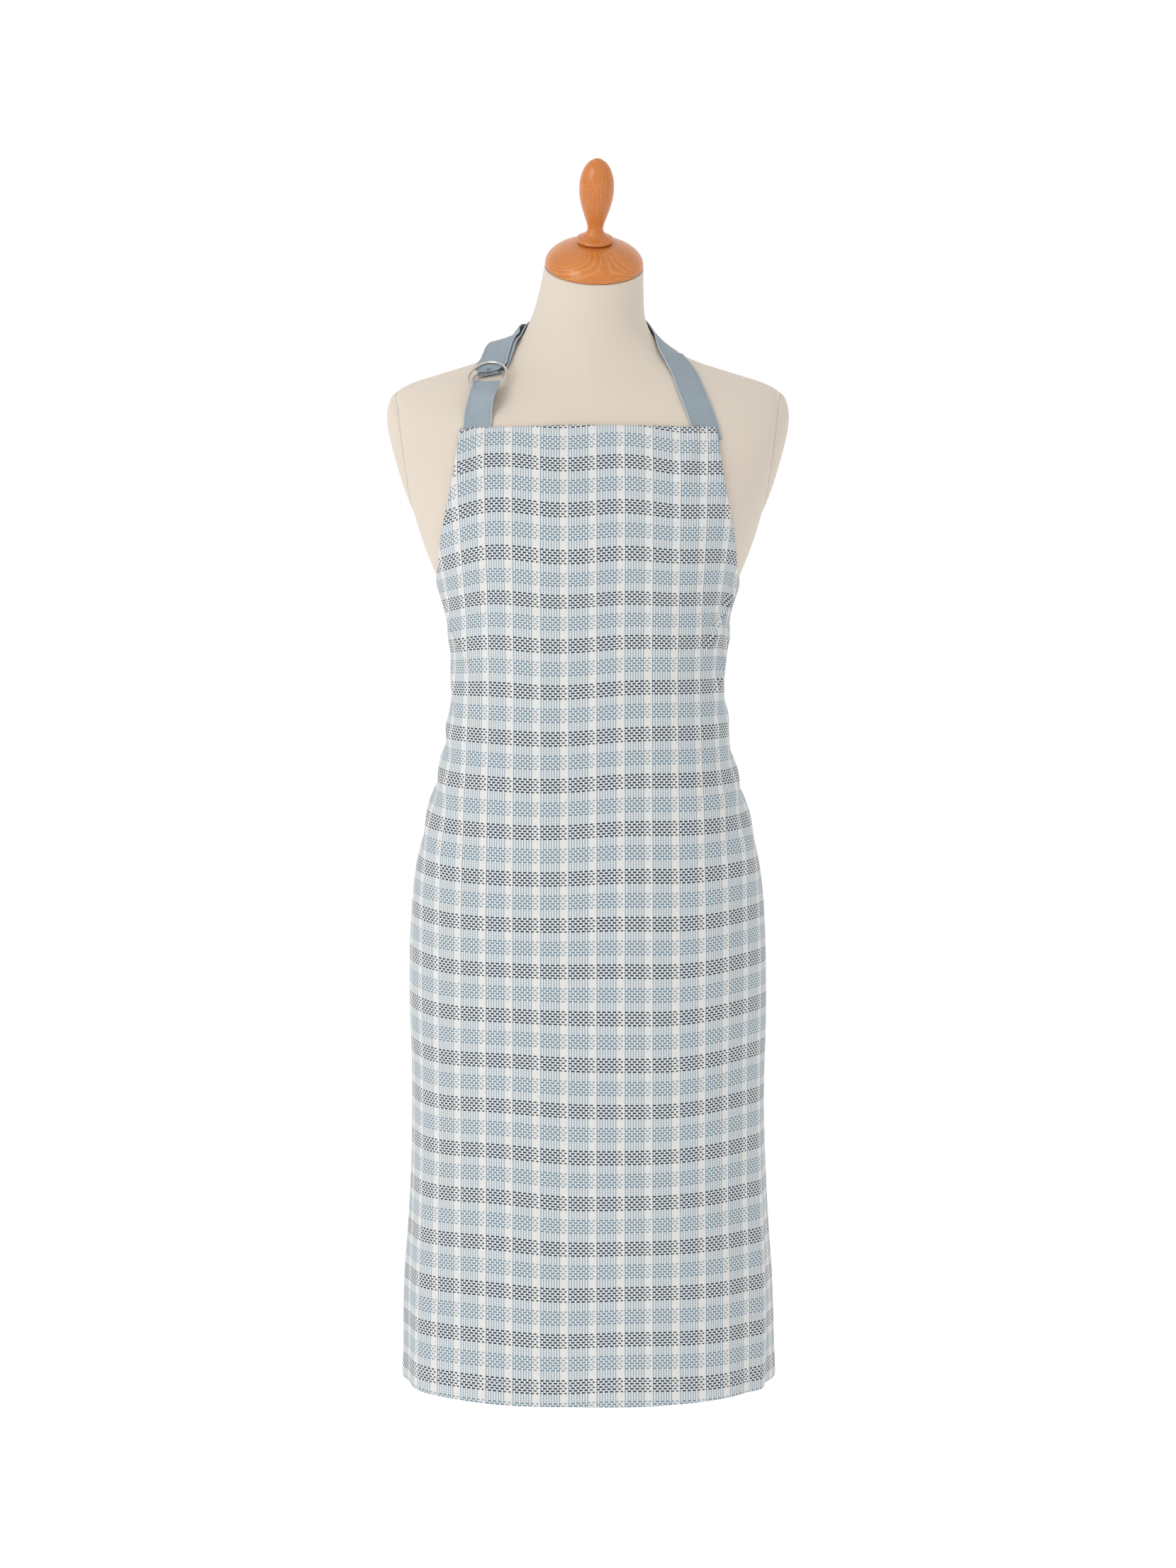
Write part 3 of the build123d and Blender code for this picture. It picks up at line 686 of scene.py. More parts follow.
def thread_material(name, colour):
    """Sewing thread: a fine twist along each stitch, drawn as painted shade in its grooves."""
    material, tree, shader = new_material(name, Roughness=0.6, Sheen_Weight=0.2)
    x, y, z = coordinates(object_place(tree))
    # Painted shade: stripes of a darker copy of the thread's colour stand for the grooves of its twist.
    twist_shade = ((x + y + z) * (2 * pi / 0.5)).apply("SINE") * 0.5 + 0.5
    tone = mixed(twist_shade * 0.4, colour, tuple(c * 0.6 for c in colour))
    plug(tone, shader.inputs["Base Color"])
    return material


twill = twill_material()
jersey = jersey_material()
nickel = nickel_material()
blue_thread = thread_material("blue_thread", (0.42, 0.50, 0.57))
white_thread = thread_material("white_thread", (0.74, 0.74, 0.74))
navy_thread = thread_material("navy_thread", (0.015, 0.02, 0.04))

# ---- The form ------------------------------------------------------------------------------------

SEAM_GAP = 0.12  # from the arm's plane to the jersey's cut edges
COVER = 1.1  # thickness of the jersey


def arm_plane(side):
    """The plane in which an arm is cut off: a point on it, and outwards."""
    tilt = radians(ARM_CUT_TILT)
    return Vector((side * ARM_CUT_X, 0, ARM_CUT_LEVEL)), Vector((side * cos(tilt), 0, -sin(tilt)))


def form_mesh():
    """The form's whole surface as a bmesh, with a soft groove along both arm seams."""
    levels = np.concatenate((
        np.arange(0, 560, 5.0), np.arange(560, 700, 2.5), np.arange(700, FORM[-1][0], 3.0), [FORM[-1][0]],
    ))
    turns = np.arange(-90, 270, 1.5)
    points = np.array([section(level, turns, 0) for level in levels])
    normals = np.cross(
        np.roll(points, -1, axis=1) - np.roll(points, 1, axis=1), np.gradient(points, axis=0)
    )
    normals /= np.linalg.norm(normals, axis=2, keepdims=True)
    for side in (-1, 1):
        centre, outward = arm_plane(side)
        off = (points - np.array(centre)) @ np.array(outward)
        groove = 1.0 * np.exp(-((off / 2.2) ** 2)) - 0.35 * np.exp(-(((off - 5) / 4) ** 2))
        points = points - normals * groove[..., None]
    mesh = bmesh.new()
    verts = [mesh.verts.new(Vector(p) * MM) for p in points.reshape(-1, 3)]
    for quad in grid_faces(len(levels), len(turns), closed=True):
        mesh.faces.new([verts[i] for i in quad])
    return mesh


def cut_away(mesh, side, keep_outer):
    """Cuts a bmesh at an arm's plane, and keeps the inner or the outer part."""
    centre, outward = arm_plane(side)
    bmesh.ops.bisect_plane(
        mesh, geom=mesh.verts[:] + mesh.edges[:] + mesh.faces[:],
        plane_co=(centre + outward * (SEAM_GAP if keep_outer else -SEAM_GAP)) * MM, plane_no=outward,
        clear_outer=not keep_outer, clear_inner=keep_outer,
    )


def covering(node, mesh):
    """A jersey piece of the cover's thickness, grown inwards from a bmesh surface."""
    bmesh.ops.recalc_face_normals(mesh, faces=mesh.faces[:])
    data = bpy.data.meshes.new(node + "_cloth")
    mesh.to_mesh(data)
    mesh.free()
    piece = linked(node + "_cloth", data)
    wall = piece.modifiers.new("wall", "SOLIDIFY")
    wall.thickness = COVER * MM
    wall.offset = -1
    finish_piece(piece, jersey, ROOT, [node])


def build_form():
    """The cover, open where the arms are cut off, and the covered plates that close the cuts."""
    cover = form_mesh()
    for side in (-1, 1):
        cut_away(cover, side, False)
    covering("jersey_cover", cover)
    for side, node in ((-1, "arm_cap_left"), (1, "arm_cap_right")):
        cap = form_mesh()
        cut_away(cap, side, True)
        covering(node, cap)


build_form()


# ---- Wooden neck cap and finial ------------------------------------------------------------------

def turned(name, profile, sides=128):
    """A turned piece: the profile of radius and height, revolved about the neck's axis."""
    origin, x_axis, y_axis, z_axis = [Vector(v) for v in section_frame(FORM[-1])]
    vertices = []
    for radius, height in profile:
        for k in range(sides):
            turn = 2 * pi * k / sides
            vertices.append(origin + (x_axis * cos(turn) + y_axis * sin(turn)) * radius + z_axis * height)
    faces = grid_faces(len(profile), sides, closed=True)
    if profile[0][0] > 0:
        faces.append(tuple(range(sides - 1, -1, -1)))
    last = (len(profile) - 1) * sides
    faces.append(tuple(last + k for k in range(sides)))
    return make_object(name, vertices, faces)


def smooth_profile(points):
    """A profile on a smooth curve through its points."""
    fine = catmull([(r, h, 0) for r, h in points], 1.2)
    return [(max(r, 0.02), h) for r, h, _ in fine]


CAP_HEIGHT = 26
COLLAR = CAP_HEIGHT - 0.4


def build_neck_cap():
    rim = [(5, 0.4), (30, 0.4), (44.3, 0.4)]
    rim += [(44.5 + 2 * sin(radians(a)), 2.4 - 2 * cos(radians(a))) for a in range(5, 91, 10)]
    # A fine bead runs round just over the rim.
    rim += [(46.42, 3.0), (46.1, 3.35), (46.15, 3.8)]
    dome = [(46.5 * cos(radians(a)), 2.4 + (CAP_HEIGHT - 2.4) * sin(radians(a))) for a in range(6, 75, 2)]
    top = [(12, dome[-1][1]), (6, dome[-1][1])]
    cap = turned("neck_cap_wood", rim + dome + top)
    grain = beech_material("beech_cap", (0.8, 0.12, -0.6), (-27, -40, 766), 2.3, 0.85)
    finish_piece(cap, grain, ROOT, ["neck_cap"])


def build_finial():
    foot = [(4, COLLAR), (15.2, COLLAR)]
    foot += [(15.5 + 2 * sin(radians(a)), COLLAR + 2 - 2 * cos(radians(a))) for a in range(15, 166, 15)]
    bulb = smooth_profile([
        (15.9, COLLAR + 4), (12.6, COLLAR + 5.6), (9.5, COLLAR + 8.0), (7.8, COLLAR + 11), (7.5, 39.3),
        (8.4, 44), (10.9, 51.5), (13.4, 59.5), (15.4, 68), (16.3, 77), (15.7, 87.5), (12.8, 97), (9.1, 102.7),
        (5, 106.1), (1.5, 107.6), (0, 107.7),
    ])
    finial = turned("finial_wood", foot + bulb[:-1])
    grain = beech_material("beech_finial", section_frame(FORM[-1])[3], (-70, -60, 753), 4.2, 0.3)
    finish_piece(finial, grain, "finial", ["finial"])


build_neck_cap()
build_finial()

# ---- The apron -----------------------------------------------------------------------------------

HEM_BOTTOM = 22
HEM_SIDE = 12
HEM_TOP = 26
HEM_STITCH_INSET = 2.5  # from a hem's fold to its stitches


def drape_table():
    """Sections of the hanging cloth: the skirt's, then the form's with room for the cloth."""
    middle = CLOTH_LIFT - CLOTH_INSIDE
    rows = [(row[0], row[1] + middle, row[2] + middle, row[3] + middle, row[4], row[5]) for row in SKIRT]
    for row in FORM:
        if SKIRT[-1][0] < row[0] < BIB_TOP + 40:
            rows.append(grown(row, CLOTH_LIFT)[:6])
    return np.array(rows)


def half_outline(row, count=1201):
    """Half a section, from the middle of the front round the side to the middle of the back:
    points and the distance covered."""
    spread = np.linspace(0, 1, count)
    turns = -90 + 180 * (spread - np.sin(4 * pi * spread) / (4 * pi) * 0.9)
    x, y = outline(np.append(row, 0), turns)
    run = np.concatenate(([0], np.cumsum(np.hypot(np.diff(x), np.diff(y)))))
    return x, y, run


def cloth_reach(level, x, y, run):
    """How far the cloth reaches round the section at that level, from the middle of the front."""
    if level >= BIB_EDGE[-1][1]:
        limit = through(BIB_EDGE, np.array([level]))[0]
        ahead = y < -20
        return np.interp(limit, x[ahead], run[ahead])
    reach = run[-1]
    if level >= ARMHOLE[-1][1]:
        limit = through(ARMHOLE, np.array([level]))[0]
        rising = np.maximum.accumulate(y)
        reach = np.interp(limit, rising, run)
    if level <= BACK_EDGE[0][1]:
        limit = through(BACK_EDGE, np.array([level]))[0]
        behind = y > 0
        back_x, back_run = x[behind][::-1], run[behind][::-1]
        reach = min(reach, np.interp(limit, back_x, back_run))
    return reach


def fold(u, level, start, end, width, height):
    """A soft crease along a line on the cloth, with a shallow valley beside it."""
    (u0, z0), (u1, z1) = start, end
    length = np.hypot(u1 - u0, z1 - z0)
    t = ((u - u0) * (u1 - u0) + (level - z0) * (z1 - z0)) / length**2
    off = ((u - u0) * (z1 - z0) - (level - z0) * (u1 - u0)) / length
    fade = np.sin(pi * np.clip(t, 0, 1)) ** 0.8
    crest = np.exp(-((off / width) ** 2))
    dip = np.exp(-(((off - 1.7 * width) / width) ** 2))
    return height * fade * (crest - 0.45 * dip)


# Creases: where each starts and ends (distance round from the middle of the front, level), its
# width and height. Those at the armholes are sharp, those of the waist are pulled by the ties.
CREASES = [
    ((-172, 452), (-112, 372), 5.5, 3.4),
    ((-196, 420), (-128, 318), 7, 2.6),
    ((-300, 356), (-112, 300), 9, 2.2),
    ((-300, 336), (-104, 246), 12, 2.8),
    ((-292, 322), (-128, 186), 15, 2.4),
    ((-215, 404), (-96, 405), 9, 1.2),
    ((168, 462), (114, 386), 5, 4.6),
    ((190, 428), (122, 330), 7, 3.2),
    ((300, 352), (104, 316), 9, 1.8),
    ((300, 334), (112, 240), 12, 2.9),
    ((296, 322), (136, 180), 14, 2.6),
    ((222, 398), (88, 418), 8, 1.2),
    ((-60, 330), (50, 352), 14, 0.9),
    ((-105, 612), (-92, 545), 6, 1.6),
    ((-118, 600), (-121, 520), 6, 1.2),
    ((103, 612), (86, 540), 6, 1.8),
    ((116, 606), (124, 520), 7, 1.3),
    ((-84, 600), (20, 500), 16, 0.8),
    ((70, 590), (-10, 470), 18, 0.9),
]
# Hanging folds of the skirt: distance round, level where it starts, width, depth at the hem.
HANGING = [
    (-292, 150, 16, 4.0), (-262, 60, 15, -4.5), (-228, 0, 16, 1.8), (-196, 40, 13, -3.4),
    (-160, -40, 14, 1.6), (-70, -120, 30, 1.0), (45, -150, 34, 1.2), (152, -20, 13, -2.6),
    (182, 60, 12, 3.6), (206, -20, 12, -4.2), (236, 20, 15, 2.8), (268, 80, 16, -4.5), (294, 150, 15, 4.5),
]


def cloth_rise(u, level):
    """How far creases and folds lift the cloth off its plain shape."""
    rise = np.zeros_like(u)
    for start, end, width, height in CREASES:
        rise += fold(u, level, start, end, width, height)
    for place, begin, width, height in HANGING:
        down = np.clip((begin - level) / (begin - HEM), 0, 1)
        sway = 9 * np.sin((level - HEM) / 150 + place)
        spread = width * (0.8 + 0.5 * down)
        rise += height * down**1.1 * np.exp(-(((u - place - sway * down) / spread) ** 2))
    ripple = (
        np.sin(u / 23 + level / 61 + 0.6) * np.sin(level / 37 - u / 90)
        + 0.6 * np.sin(u / 13.7 - level / 49 + 2.0) * np.sin(level / 29 + u / 67 + 1.0)
        + 0.5 * np.sin(u / 41 + 1.3) * np.sin(level / 77 + u / 120)
    )
    rise += 0.42 * ripple
    return rise


def grain_shift(u, level):
    """How far the weft lines wander down from level."""
    top = np.clip((level - 330) / (BIB_TOP - 330), 0, 1)
    wave = np.cos(2 * pi * (u + 26) / 120) * (2.9 * top + 0.5)
    droop = 10.5 * top * np.clip((np.abs(u) - 88) / 60, 0, 1.6) ** 2
    slow = 1.6 * np.sin(u / 70 + level / 130 + 0.8) + 1.1 * np.sin(u / 33 - level / 90)
    return wave + droop + slow


def apron_grid():
    """The cloth's middle surface as a grid, its cloth coordinates and the distance to its edges."""
    table = drape_table()
    levels = np.concatenate((
        np.arange(HEM, HEM + 30, 2.5), np.arange(HEM + 30, BIB_TOP - 32, 4.0),
        np.arange(BIB_TOP - 32, BIB_TOP, 2.5), [BIB_TOP],
    ))
    half = np.concatenate((np.linspace(0, 0.94, 76), np.linspace(0.94, 1, 9)[1:]))
    share = np.concatenate((-half[::-1], half[1:]))
    outlines = [half_outline(row_at(level, table)) for level in levels]
    reach = np.array([cloth_reach(level, *line) for level, line in zip(levels, outlines)])
    kernel = np.exp(-((np.arange(-4, 5) / 2.2) ** 2))
    kernel /= kernel.sum()
    inner = np.convolve(np.pad(reach, 4, mode="edge"), kernel, mode="valid")
    reach[4:-4] = inner[4:-4]
    # Distance along the middle of the front, from the bib's top down.
    front = np.array([-line[1][0] for line in outlines])
    steps = np.hypot(np.diff(levels), np.diff(front))
    length = steps.sum()
    down = length - np.concatenate(([0], np.cumsum(steps)))
    points, cloth, edge, rise = [], [], [], []
    for level, (x, y, run), far, depth in zip(levels, outlines, reach, down):
        u = share * far
        flat = np.full_like(u, level)
        px = np.interp(np.abs(u), run, x) * np.sign(u)
        py = np.interp(np.abs(u), run, y)
        near_top = np.exp(-(BIB_TOP - level) / 40)
        arch = -near_top * (u / 118) ** 2 * (2.2 - 0.8 * u / 118)
        points.append(np.stack((px, py, flat + arch), axis=1))
        cloth.append(np.stack((u, depth - grain_shift(u, flat)), axis=1))
        rise.append(cloth_rise(u, flat))
        edge.append(np.stack((far - np.abs(u), flat * 0 + depth, flat * 0 + length - depth), axis=1))
    points, cloth, rise, edge = (np.array(rows) for rows in (points, cloth, rise, edge))
    resting = np.clip((levels + 20) / 60, 0, 1)[:, None]
    rise = np.maximum(rise, -1.3 * resting - 30 * (1 - resting))
    return points + grid_normals(points) * rise[..., None], cloth, edge, length, reach


def hem_profile(edge):
    """Outer and inner half thickness: two more layers at the hems, with a stitched groove."""
    side, top, bottom = edge[..., 0], edge[..., 1], edge[..., 2]
    widths = ((side, HEM_SIDE), (top, HEM_TOP), (bottom, HEM_BOTTOM))
    hem = np.zeros_like(side)
    groove = np.zeros_like(side)
    for distance, width in widths:
        hem = np.maximum(hem, np.clip((width - distance) / 1.5 + 0.5, 0, 1))
        groove = np.maximum(groove, np.exp(-(((distance - width + HEM_STITCH_INSET) / 1.3) ** 2)))
    nearest = np.minimum(side, np.minimum(top, bottom))
    rounding = np.sqrt(np.clip(nearest / 0.9, 0.05, 1))
    outer = (0.42 + 0.30 * hem - 0.25 * groove) * rounding
    inner = (0.42 + 0.55 * hem) * rounding
    return outer, inner


def build_apron():
    points, cloth, edge, length, reach = apron_grid()
    outer, inner = hem_profile(edge)
    apron = thick_sheet("apron_cloth", points, outer, inner, cloth * MM)
    finish_piece(apron, check_material(length / CHECKS_DOWN), ROOT, ["apron_panel"])
    normals = grid_normals(points)
    surface = points + normals * outer[..., None]

    def along_inset(inset, first, last, side):
        """Points at that distance from a side edge, between two rows of the grid."""
        line, facing = [], []
        for r in range(first, last):
            distance = edge[r, :, 0]
            half = slice(len(distance) // 2, None) if side > 0 else slice(None, len(distance) // 2 + 1)
            order = 1 if side < 0 else -1
            keys = distance[half][::order]
            line.append([np.interp(inset, keys, surface[r, half, k][::order]) for k in range(3)])
            facing.append([np.interp(inset, keys, normals[r, half, k][::order]) for k in range(3)])
        return line, facing

    parts = []
    rows = len(points)
    bottom_row = int(np.argmin(np.abs(edge[:, 0, 2] - (HEM_BOTTOM - HEM_STITCH_INSET))))
    for side in (-1, 1):
        line, facing = along_inset(HEM_SIDE - HEM_STITCH_INSET, 1, rows - 1, side)
        parts += stitch_line(line, facing, *HEM_STITCHES)
    parts += stitch_line(surface[bottom_row, 3:-3], normals[bottom_row, 3:-3], *HEM_STITCHES)
    stitches = joined("apron_stitches", parts)
    finish_piece(stitches, white_thread, ROOT)

    # The straps are sewn on with navy thread, which shows as short dashes on the bib's top edge.
    tacks = []
    for low, high in ((-115, -92.5), (96, 113)):
        wanted = np.linspace(low, high, 12)
        top = points[-1] + normals[-1] * 0.5 - np.array((0, 0, 0.9))
        line, facing = [
            np.stack([np.interp(wanted, cloth[-1, :, 0], rows[:, k]) for k in range(3)], axis=1)
            for rows in (top, normals[-1])
        ]
        tacks += stitch_line(line, facing, *STRAP_TACKS)
    sewn = joined("strap_tacks", tacks)
    finish_piece(sewn, navy_thread, ROOT)
    depths = edge[:, 0, 1]
    area = np.sum((reach[1:] + reach[:-1]) * -np.diff(depths)) * MM * MM


build_apron()

# ---- Rings and straps ----------------------------------------------------------------------------

def at_rings(up, out):
    """The point that far up the strap and outwards from the front ring's centre."""
    return RING_CENTRE + RING_UP * up + RING_OUT * out


def build_ring(node, centre, axis, radius):
    """A wire ring with a faint weld."""
    around, sides = 112, 20
    axis = axis.normalized()
    first = axis.orthogonal().normalized()
    second = axis.cross(first)
    vertices = []
    for i in range(around):
        turn = 2 * pi * i / around
        out = first * cos(turn) + second * sin(turn)
        thick = RING_WIRE * (1 + 0.04 * np.exp(-(((turn - 0.6) / 0.05) ** 2)))
        for k in range(sides):
            roll = 2 * pi * k / sides
            vertices.append(centre + out * (radius + thick * cos(roll)) + axis * (thick * sin(roll)))
    faces = grid_faces(around, sides, closed=True, wrapped=True, flip=True)
    ring = make_object(node + "_wire", vertices, faces)
    finish_piece(ring, nickel, node, [node])


def build_rings():
    build_ring("ring_front", at_rings(0, 0), RING_OUT, FRONT_RADIUS)
    leaning = RING_OUT * cos(radians(REAR_TILT)) + RING_UP * sin(radians(REAR_TILT))
    build_ring("ring_back", at_rings(*REAR_CENTRE), leaning, BAR_RADIUS)


def over_front(rows):
    """Rows of level, turn and lift over the form's front, from rows of level, x and lift."""
    return [(level, front_turn(level, x), lift) for level, x, lift in rows]


def over_path(rows):
    """Tape rows over the form, from rows of level, turn and lift."""
    return [(skin(*row), skin_normal(*row[:2]), STRAP_WIDTH, STRAP) for row in rows]


def in_rings(rows):
    """Tape rows in the rings' frame: up, out, facing, width and thickness."""
    path = []
    for up, out, facing, width, thickness in rows:
        outward = RING_OUT * cos(radians(facing)) + RING_UP * sin(radians(facing))
        path.append((at_rings(up, out), outward, width, thickness))
    return path


def turned_over(rows):
    """The same rows with the tape's other side outwards."""
    return [(centre, -outward, width, thickness) for centre, outward, width, thickness in rows]


def by_hand(rows):
    """Tape rows from centres and outward directions."""
    return [(Vector(centre), Vector(outward), STRAP_WIDTH, STRAP) for centre, outward in rows]


# The strap leaves the back of the neck over the shoulder's ridge, well clear of the form.
OVER_RIDGE = by_hand([
    ((-71.8, 6.4, 683.8), (-0.55, 0.02, 0.83)),
    ((-77, -6.5, 682.6), (-0.3, -0.1, 0.95)),
    ((-81, -15, 676.6), (-0.26, -0.42, 0.87)),
    ((-84.4, -23.5, 667.8), (-0.24, -0.6, 0.76)),
])
BACK_OVER_RIDGE = by_hand([
    ((-86.8, -24.6, 670.4), (-0.24, -0.6, 0.76)),
    ((-83.6, -14.8, 679.6), (-0.26, -0.42, 0.87)),
    ((-79.4, -5.4, 685.4), (-0.3, -0.1, 0.95)),
    ((-74.8, 7.4, 686.3), (-0.55, 0.02, 0.83)),
])


def neck_strap_rows():
    """The whole long strap: round the neck, down behind the rings, round the rear ring's upper
    bar, back up over itself and down the back."""
    right = over_front([
        (590, 110.5, 1.2), (603, 107.5, 1.3), (620, 101.5, 1.8), (637, 94, 2.2), (652, 86, 2.2),
        (664, 78.5, 2.4), (674, 71.5, 3),
    ])
    neck = [(684, 4, 3), (691, 28, 2.8), (696, 55, 2.4), (699, 90, 2.2), (697, 125, 2.4), (689, 153, 3.2)]
    round_bar = in_rings([
        (21, -9.0, 0, 27, STRAP), (15.9, -9.0, 0, 27, 1.5), (13.0, -8.0, -40, 26, 2.0),
        (12.3, -6.1, -95, 26, 2.0), (13.2, -4.2, -140, 26, 2.0), (16.4, -2.6, -175, 26, 1.5),
        (21, -2.8, -180, 27, STRAP),
    ])
    tail = [
        (687, 163, 8), (685, 146, 7.4), (676, 133, 5.5), (655, 124, 2.8), (628, 118, 2), (600, 115, 1.8),
    ]
    rows = over_path(right + neck) + OVER_RIDGE + round_bar
    return rows + turned_over(BACK_OVER_RIDGE + over_path(tail))


def round_the_bar(point):
    """Gathers the tape along the rear ring's upper bar: points near the rings follow its arc."""
    offset = Vector(point) - at_rings(REAR_CENTRE[0], 0)
    up, out = offset.dot(RING_UP), offset.dot(RING_OUT)
    across = offset.dot(RING_ACROSS)
    near = min(max((GATHER_FROM - up) / GATHER_OVER, 0), 1) * min(max((across + 40) / 20, 0), 1)
    near = near * near * (3 - 2 * near)
    if near == 0 or abs(across) > 22 or abs(out) > 16:
        return point
    angle = (across - 3.0) / (BAR_RADIUS + 1.5)
    pleats = 0.55 * cos(5.5 * angle + 0.9) + 0.35 * cos(11 * angle + 0.3)
    reach = up - 0.5 * abs(pleats)
    bent = at_rings(REAR_CENTRE[0] + reach * cos(angle), out + 0.5 * pleats)
    bent += RING_ACROSS * (reach * sin(angle))
    return np.array(Vector(point).lerp(bent, near))


def declare_tape(rows):
    """Works out the length that a tape's rows cover; nothing is done with it."""
    run = tape_frames(rows)[-1][-1]


def build_tape(name, rows, body, nodes, bend=None, faces=(1,)):
    """A tape with its edge stitching on those faces."""
    tape = joined(name, [tape_mesh(rows, bend)])
    finish_piece(tape, twill, body, nodes)
    stitches = []
    for side in (-1, 1):
        for face in faces:
            stitches += edge_stitches(rows, side, bend, face)
    seam = joined(name + "_stitches", stitches)
    finish_piece(seam, blue_thread, body)
    declare_tape(rows)


def build_straps():
    foot = over_path(over_front([(589, -104.2, 1.2), (603, -101.6, 1.5), (617, -98.8, 5)]))
    over_bars = in_rings([
        (-25, 2.5, 0, 26.6, STRAP), (-19, 2.5, 0, 26.2, STRAP), (-13, 2.3, 0, 25.8, STRAP),
        (-9.6, 1.5, 35, 25, STRAP), (-8.4, -1, 90, 23, STRAP), (-9.6, -3.7, 145, 22, STRAP),
        (-13, -4.8, 175, 21, STRAP), (-20, -4.4, 184, 21, STRAP), (-26, -3.4, 188, 21, STRAP),
    ])
    lean = [1.5, 2.5, 2.6, 2.2, 1.2, 0.2, 0, 0, 0]
    shifted = [(row[0] + RING_ACROSS * shift, *row[1:]) for row, shift in zip(over_bars, lean)]
    build_tape("ring_strap_tape", foot + shifted, ROOT, ["ring_strap"])
    # The loop's end is sewn down behind, which shows as a line of stitches across the front.
    seam = [at_rings(-22, 2.5 + STRAP / 2) + RING_ACROSS * (2.2 + 12.4 * k / 10) for k in range(-10, 11)]
    seam = joined("ring_strap_seam", stitch_line(seam, [RING_OUT] * len(seam), *TAPE_STITCHES))
    finish_piece(seam, blue_thread, ROOT)
    build_tape(
        "neck_strap_tape", neck_strap_rows(), ROOT, ["neck_strap", "neck_strap_tail"],
        bend=round_the_bar, faces=(1, -1),
    )


build_rings()
build_straps()

# ---- Waist ties and their bow --------------------------------------------------------------------

def tie_rows(side):
    turns = [90 - side * turn for turn in (19.5, 15, 10.5, 6)]
    band = over_path([(TIE_LEVEL, turn, TIE_LIFT) for turn in turns])
    band.append((Vector((side * 15, KNOT_Y - 4, TIE_LEVEL)), Vector((0, 1, 0)), 21, STRAP))
    return band


def loop_rows(side):
    """The bow's loop: out along its upper side, round its end and back underneath."""
    droop = radians(LOOP_DROOP)
    along, back = Vector((side * cos(droop), 0, -sin(droop))), Vector((0, 1, 0))
    root = Vector((side * LOOP_START, KNOT_Y + 4, TIE_LEVEL))
    route = [
        (3, 0.8, 11), (14, 4.0, 17), (32, 7.2, 25), (56, 9.4, 27), (80, 9.6, 27), (96, 7.6, 27),
        (104.5, 2.4, 27), (98, -2.6, 27), (80, -4.6, 27), (56, -5.0, 27), (32, -3.8, 25),
        (14, -2.0, 17), (3, -0.8, 11),
    ]
    rows = []
    for i, (a, b, width) in enumerate(route):
        before, after = route[max(i - 1, 0)], route[min(i + 1, len(route) - 1)]
        da, db = after[0] - before[0], after[1] - before[1]
        outward = (along * -db + back * da).normalized()
        rows.append((root + along * a + back * b, outward, width, LOOP_THICKNESS))
    return rows


TAIL_ROUTE = [
    (14.2, 88, 326.5), (15.5, 90, 300), (17, 94, 270), (19, 98.5, 239), (21, 103, 212),
    (22.5, 108.5, 185), (24, 113.5, 155), (25, 116.5, 124), (25.5, 118, 90), (26, 118, 50),
    (26.5, 117.5, 5),
]


def tail_rows(side):
    rows = []
    for x, y, z in TAIL_ROUTE:
        width = STRAP_WIDTH if z < TAIL_NARROW_FROM else TAIL_GATHERED
        turn = 0.10 * sin(z / 45 + side)
        rows.append((Vector((side * x, y, z)), Vector((side * turn, 1, 0)).normalized(), width, STRAP))
    return rows


def build_knot():
    """The bow's knot: a flat wrap of tape, pinched into creases, round the crossing ties."""
    around, columns = 72, 25
    vertices, uvs = [], []
    for i in range(around):
        turn = 2 * pi * i / around
        y = np.copysign(abs(cos(turn)) ** KNOT_SQUARENESS, cos(turn)) * 7.4
        z = np.copysign(abs(sin(turn)) ** KNOT_SQUARENESS, sin(turn)) * 12.4
        for j in range(columns):
            share = -1 + 2 * j / (columns - 1)
            pinch = 1 - 0.10 * np.cos(3 * pi * share + 0.6 * sin(turn)) - 0.16 * abs(share) ** 6
            x = share * (12.6 + 0.9 * cos(2 * turn))
            vertices.append((x, KNOT_Y + y * pinch, TIE_LEVEL + z * pinch + 0.5 * share))
            uvs.append((share * 9 * MM, turn * 10 * MM))
    faces = grid_faces(around, columns, wrapped=True, flip=True)
    faces.append(tuple(i * columns for i in range(around - 1, -1, -1)))
    faces.append(tuple(i * columns + columns - 1 for i in range(around)))
    knot = make_object("bow_knot_cloth", vertices, faces, uvs)
    finish_piece(knot, twill, ROOT, ["bow_knot"])


def build_bow():
    for side, word in ((-1, "left"), (1, "right")):
        build_tape(f"tie_{word}_tape", tie_rows(side), ROOT, [f"tie_{word}"])
        loop = joined(f"bow_loop_{word}_tape", [tape_mesh(loop_rows(side))])
        finish_piece(loop, twill, f"bow_loop_{word}", [f"bow_loop_{word}"])
        declare_tape(loop_rows(side))
        build_tape(
            f"tie_tail_{word}_tape", tail_rows(side), f"tie_tail_{word}", [f"tie_tail_{word}"],
        )
    build_knot()


build_bow()

# ---- CAD pieces that keep their own shape --------------------------------------------------------

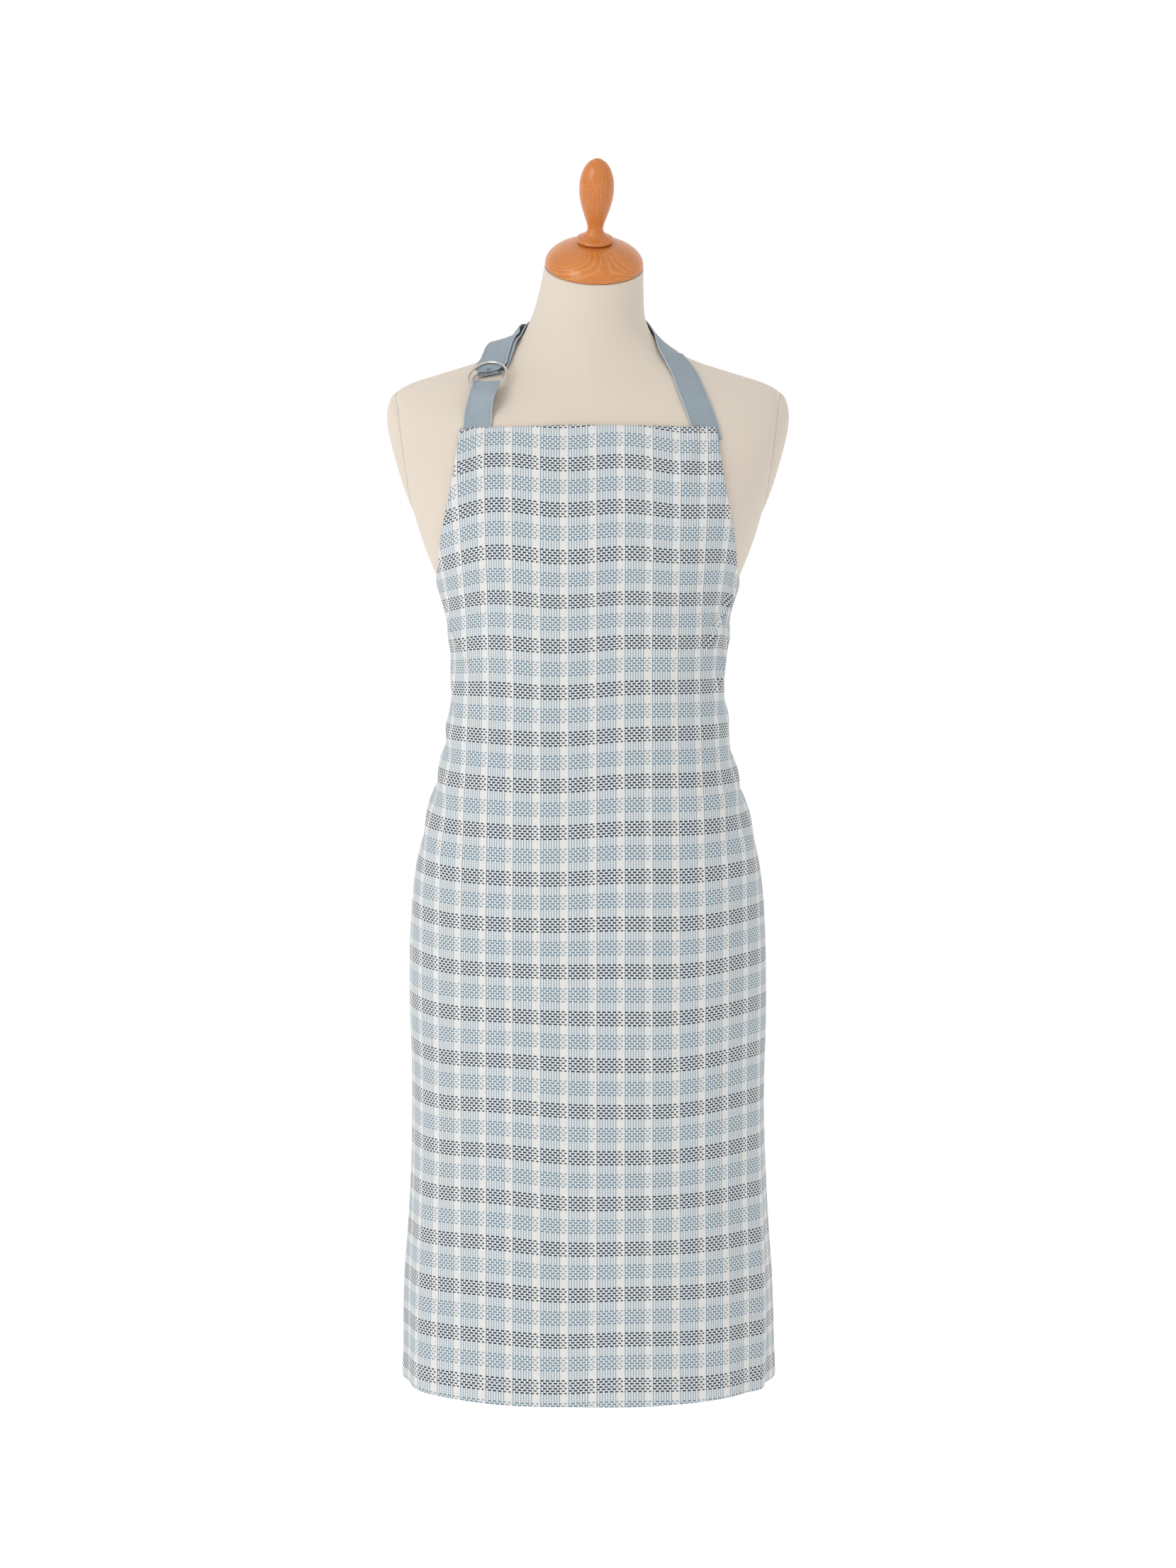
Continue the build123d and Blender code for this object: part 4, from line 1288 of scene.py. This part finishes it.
SAWN_WOOD = ((0.55, 0.38, 0.22), (0.42, 0.28, 0.15), 70, 0.7)
ZINC = ((0.60, 0.60, 0.60), (0.50, 0.50, 0.52), 400, 0.35, 1.0)
CAD_LOOKS = {
    "torso_shell": grained_material("moulded_shell", (0.70, 0.67, 0.62), (0.62, 0.59, 0.54), 120, 0.6),
    "base_board": grained_material("plywood", *SAWN_WOOD),
    "pole_socket": grained_material("black_enamel", (0.02, 0.02, 0.022), (0.035, 0.035, 0.037), 300, 0.4),
    "socket_screws": grained_material("zinc", *ZINC),
    "clamp_screw": grained_material("zinc_knob", (0.58, 0.58, 0.58), (0.48, 0.48, 0.50), 400, 0.35, 1.0),
    "neck_block": grained_material("block_wood", *SAWN_WOOD),
    "finial_stud": grained_material("zinc_stud", *ZINC),
}
for node, look in CAD_LOOKS.items():
    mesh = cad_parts[node].data
    mesh.materials.clear()
    mesh.materials.append(look)

# ---- Floor, light and camera ---------------------------------------------------------------------

FLOOR_LEVEL = -850
COVE_START = 3200  # where the floor begins to curve up
COVE = 1600


def build_stage():
    """A white floor that curves up into a wall behind the form."""
    profile = [(-6000, FLOOR_LEVEL), (COVE_START, FLOOR_LEVEL)]
    for a in range(6, 91, 6):
        profile.append((COVE_START + COVE * sin(radians(a)), FLOOR_LEVEL + COVE * (1 - cos(radians(a)))))
    profile.append((COVE_START + COVE, 7000))
    vertices = [(x, y, z) for y, z in profile for x in (-7000, 7000)]
    stage = make_object("floor", vertices, grid_faces(len(profile), 2))
    look = grained_material("studio_white", (0.93, 0.93, 0.93), (0.95, 0.95, 0.95), 3, 0.9, strength=0.0)
    glow = look.node_tree.nodes["Principled BSDF"].inputs
    glow["Emission Color"].default_value = (1, 1, 1, 1)
    glow["Emission Strength"].default_value = 0.16
    stage.data.materials.append(look)


def build_light():
    world = bpy.data.worlds.new("studio")
    world.use_nodes = True
    back = world.node_tree.nodes["Background"]
    back.inputs["Color"].default_value = (1, 1, 1, 1)
    back.inputs["Strength"].default_value = 0.94
    bpy.context.scene.world = world
    data = bpy.data.lights.new("key", "AREA")
    data.shape = "RECTANGLE"
    data.size, data.size_y = 1.4, 2.2
    data.energy = 36
    light = bpy.data.objects.new("key", data)
    light.location = (-2.2, -2.4, 1.5)
    light.rotation_euler = (Vector((0, 0, 0.3)) - light.location).to_track_quat("-Z", "Y").to_euler()
    bpy.context.scene.collection.objects.link(light)


def build_camera():
    data = bpy.data.cameras.new("camera")
    data.sensor_fit = "VERTICAL"
    data.sensor_height = 36
    data.lens = 75.2
    data.shift_y = -0.1632
    camera = bpy.data.objects.new("camera", data)
    camera.location = (0, -3.1, BIB_TOP * MM)
    camera.rotation_euler = (radians(90 - 1.8), 0, 0)
    bpy.context.scene.collection.objects.link(camera)
    bpy.context.scene.camera = camera


build_stage()
build_light()
build_camera()
bpy.context.scene.view_settings.view_transform = "Standard"
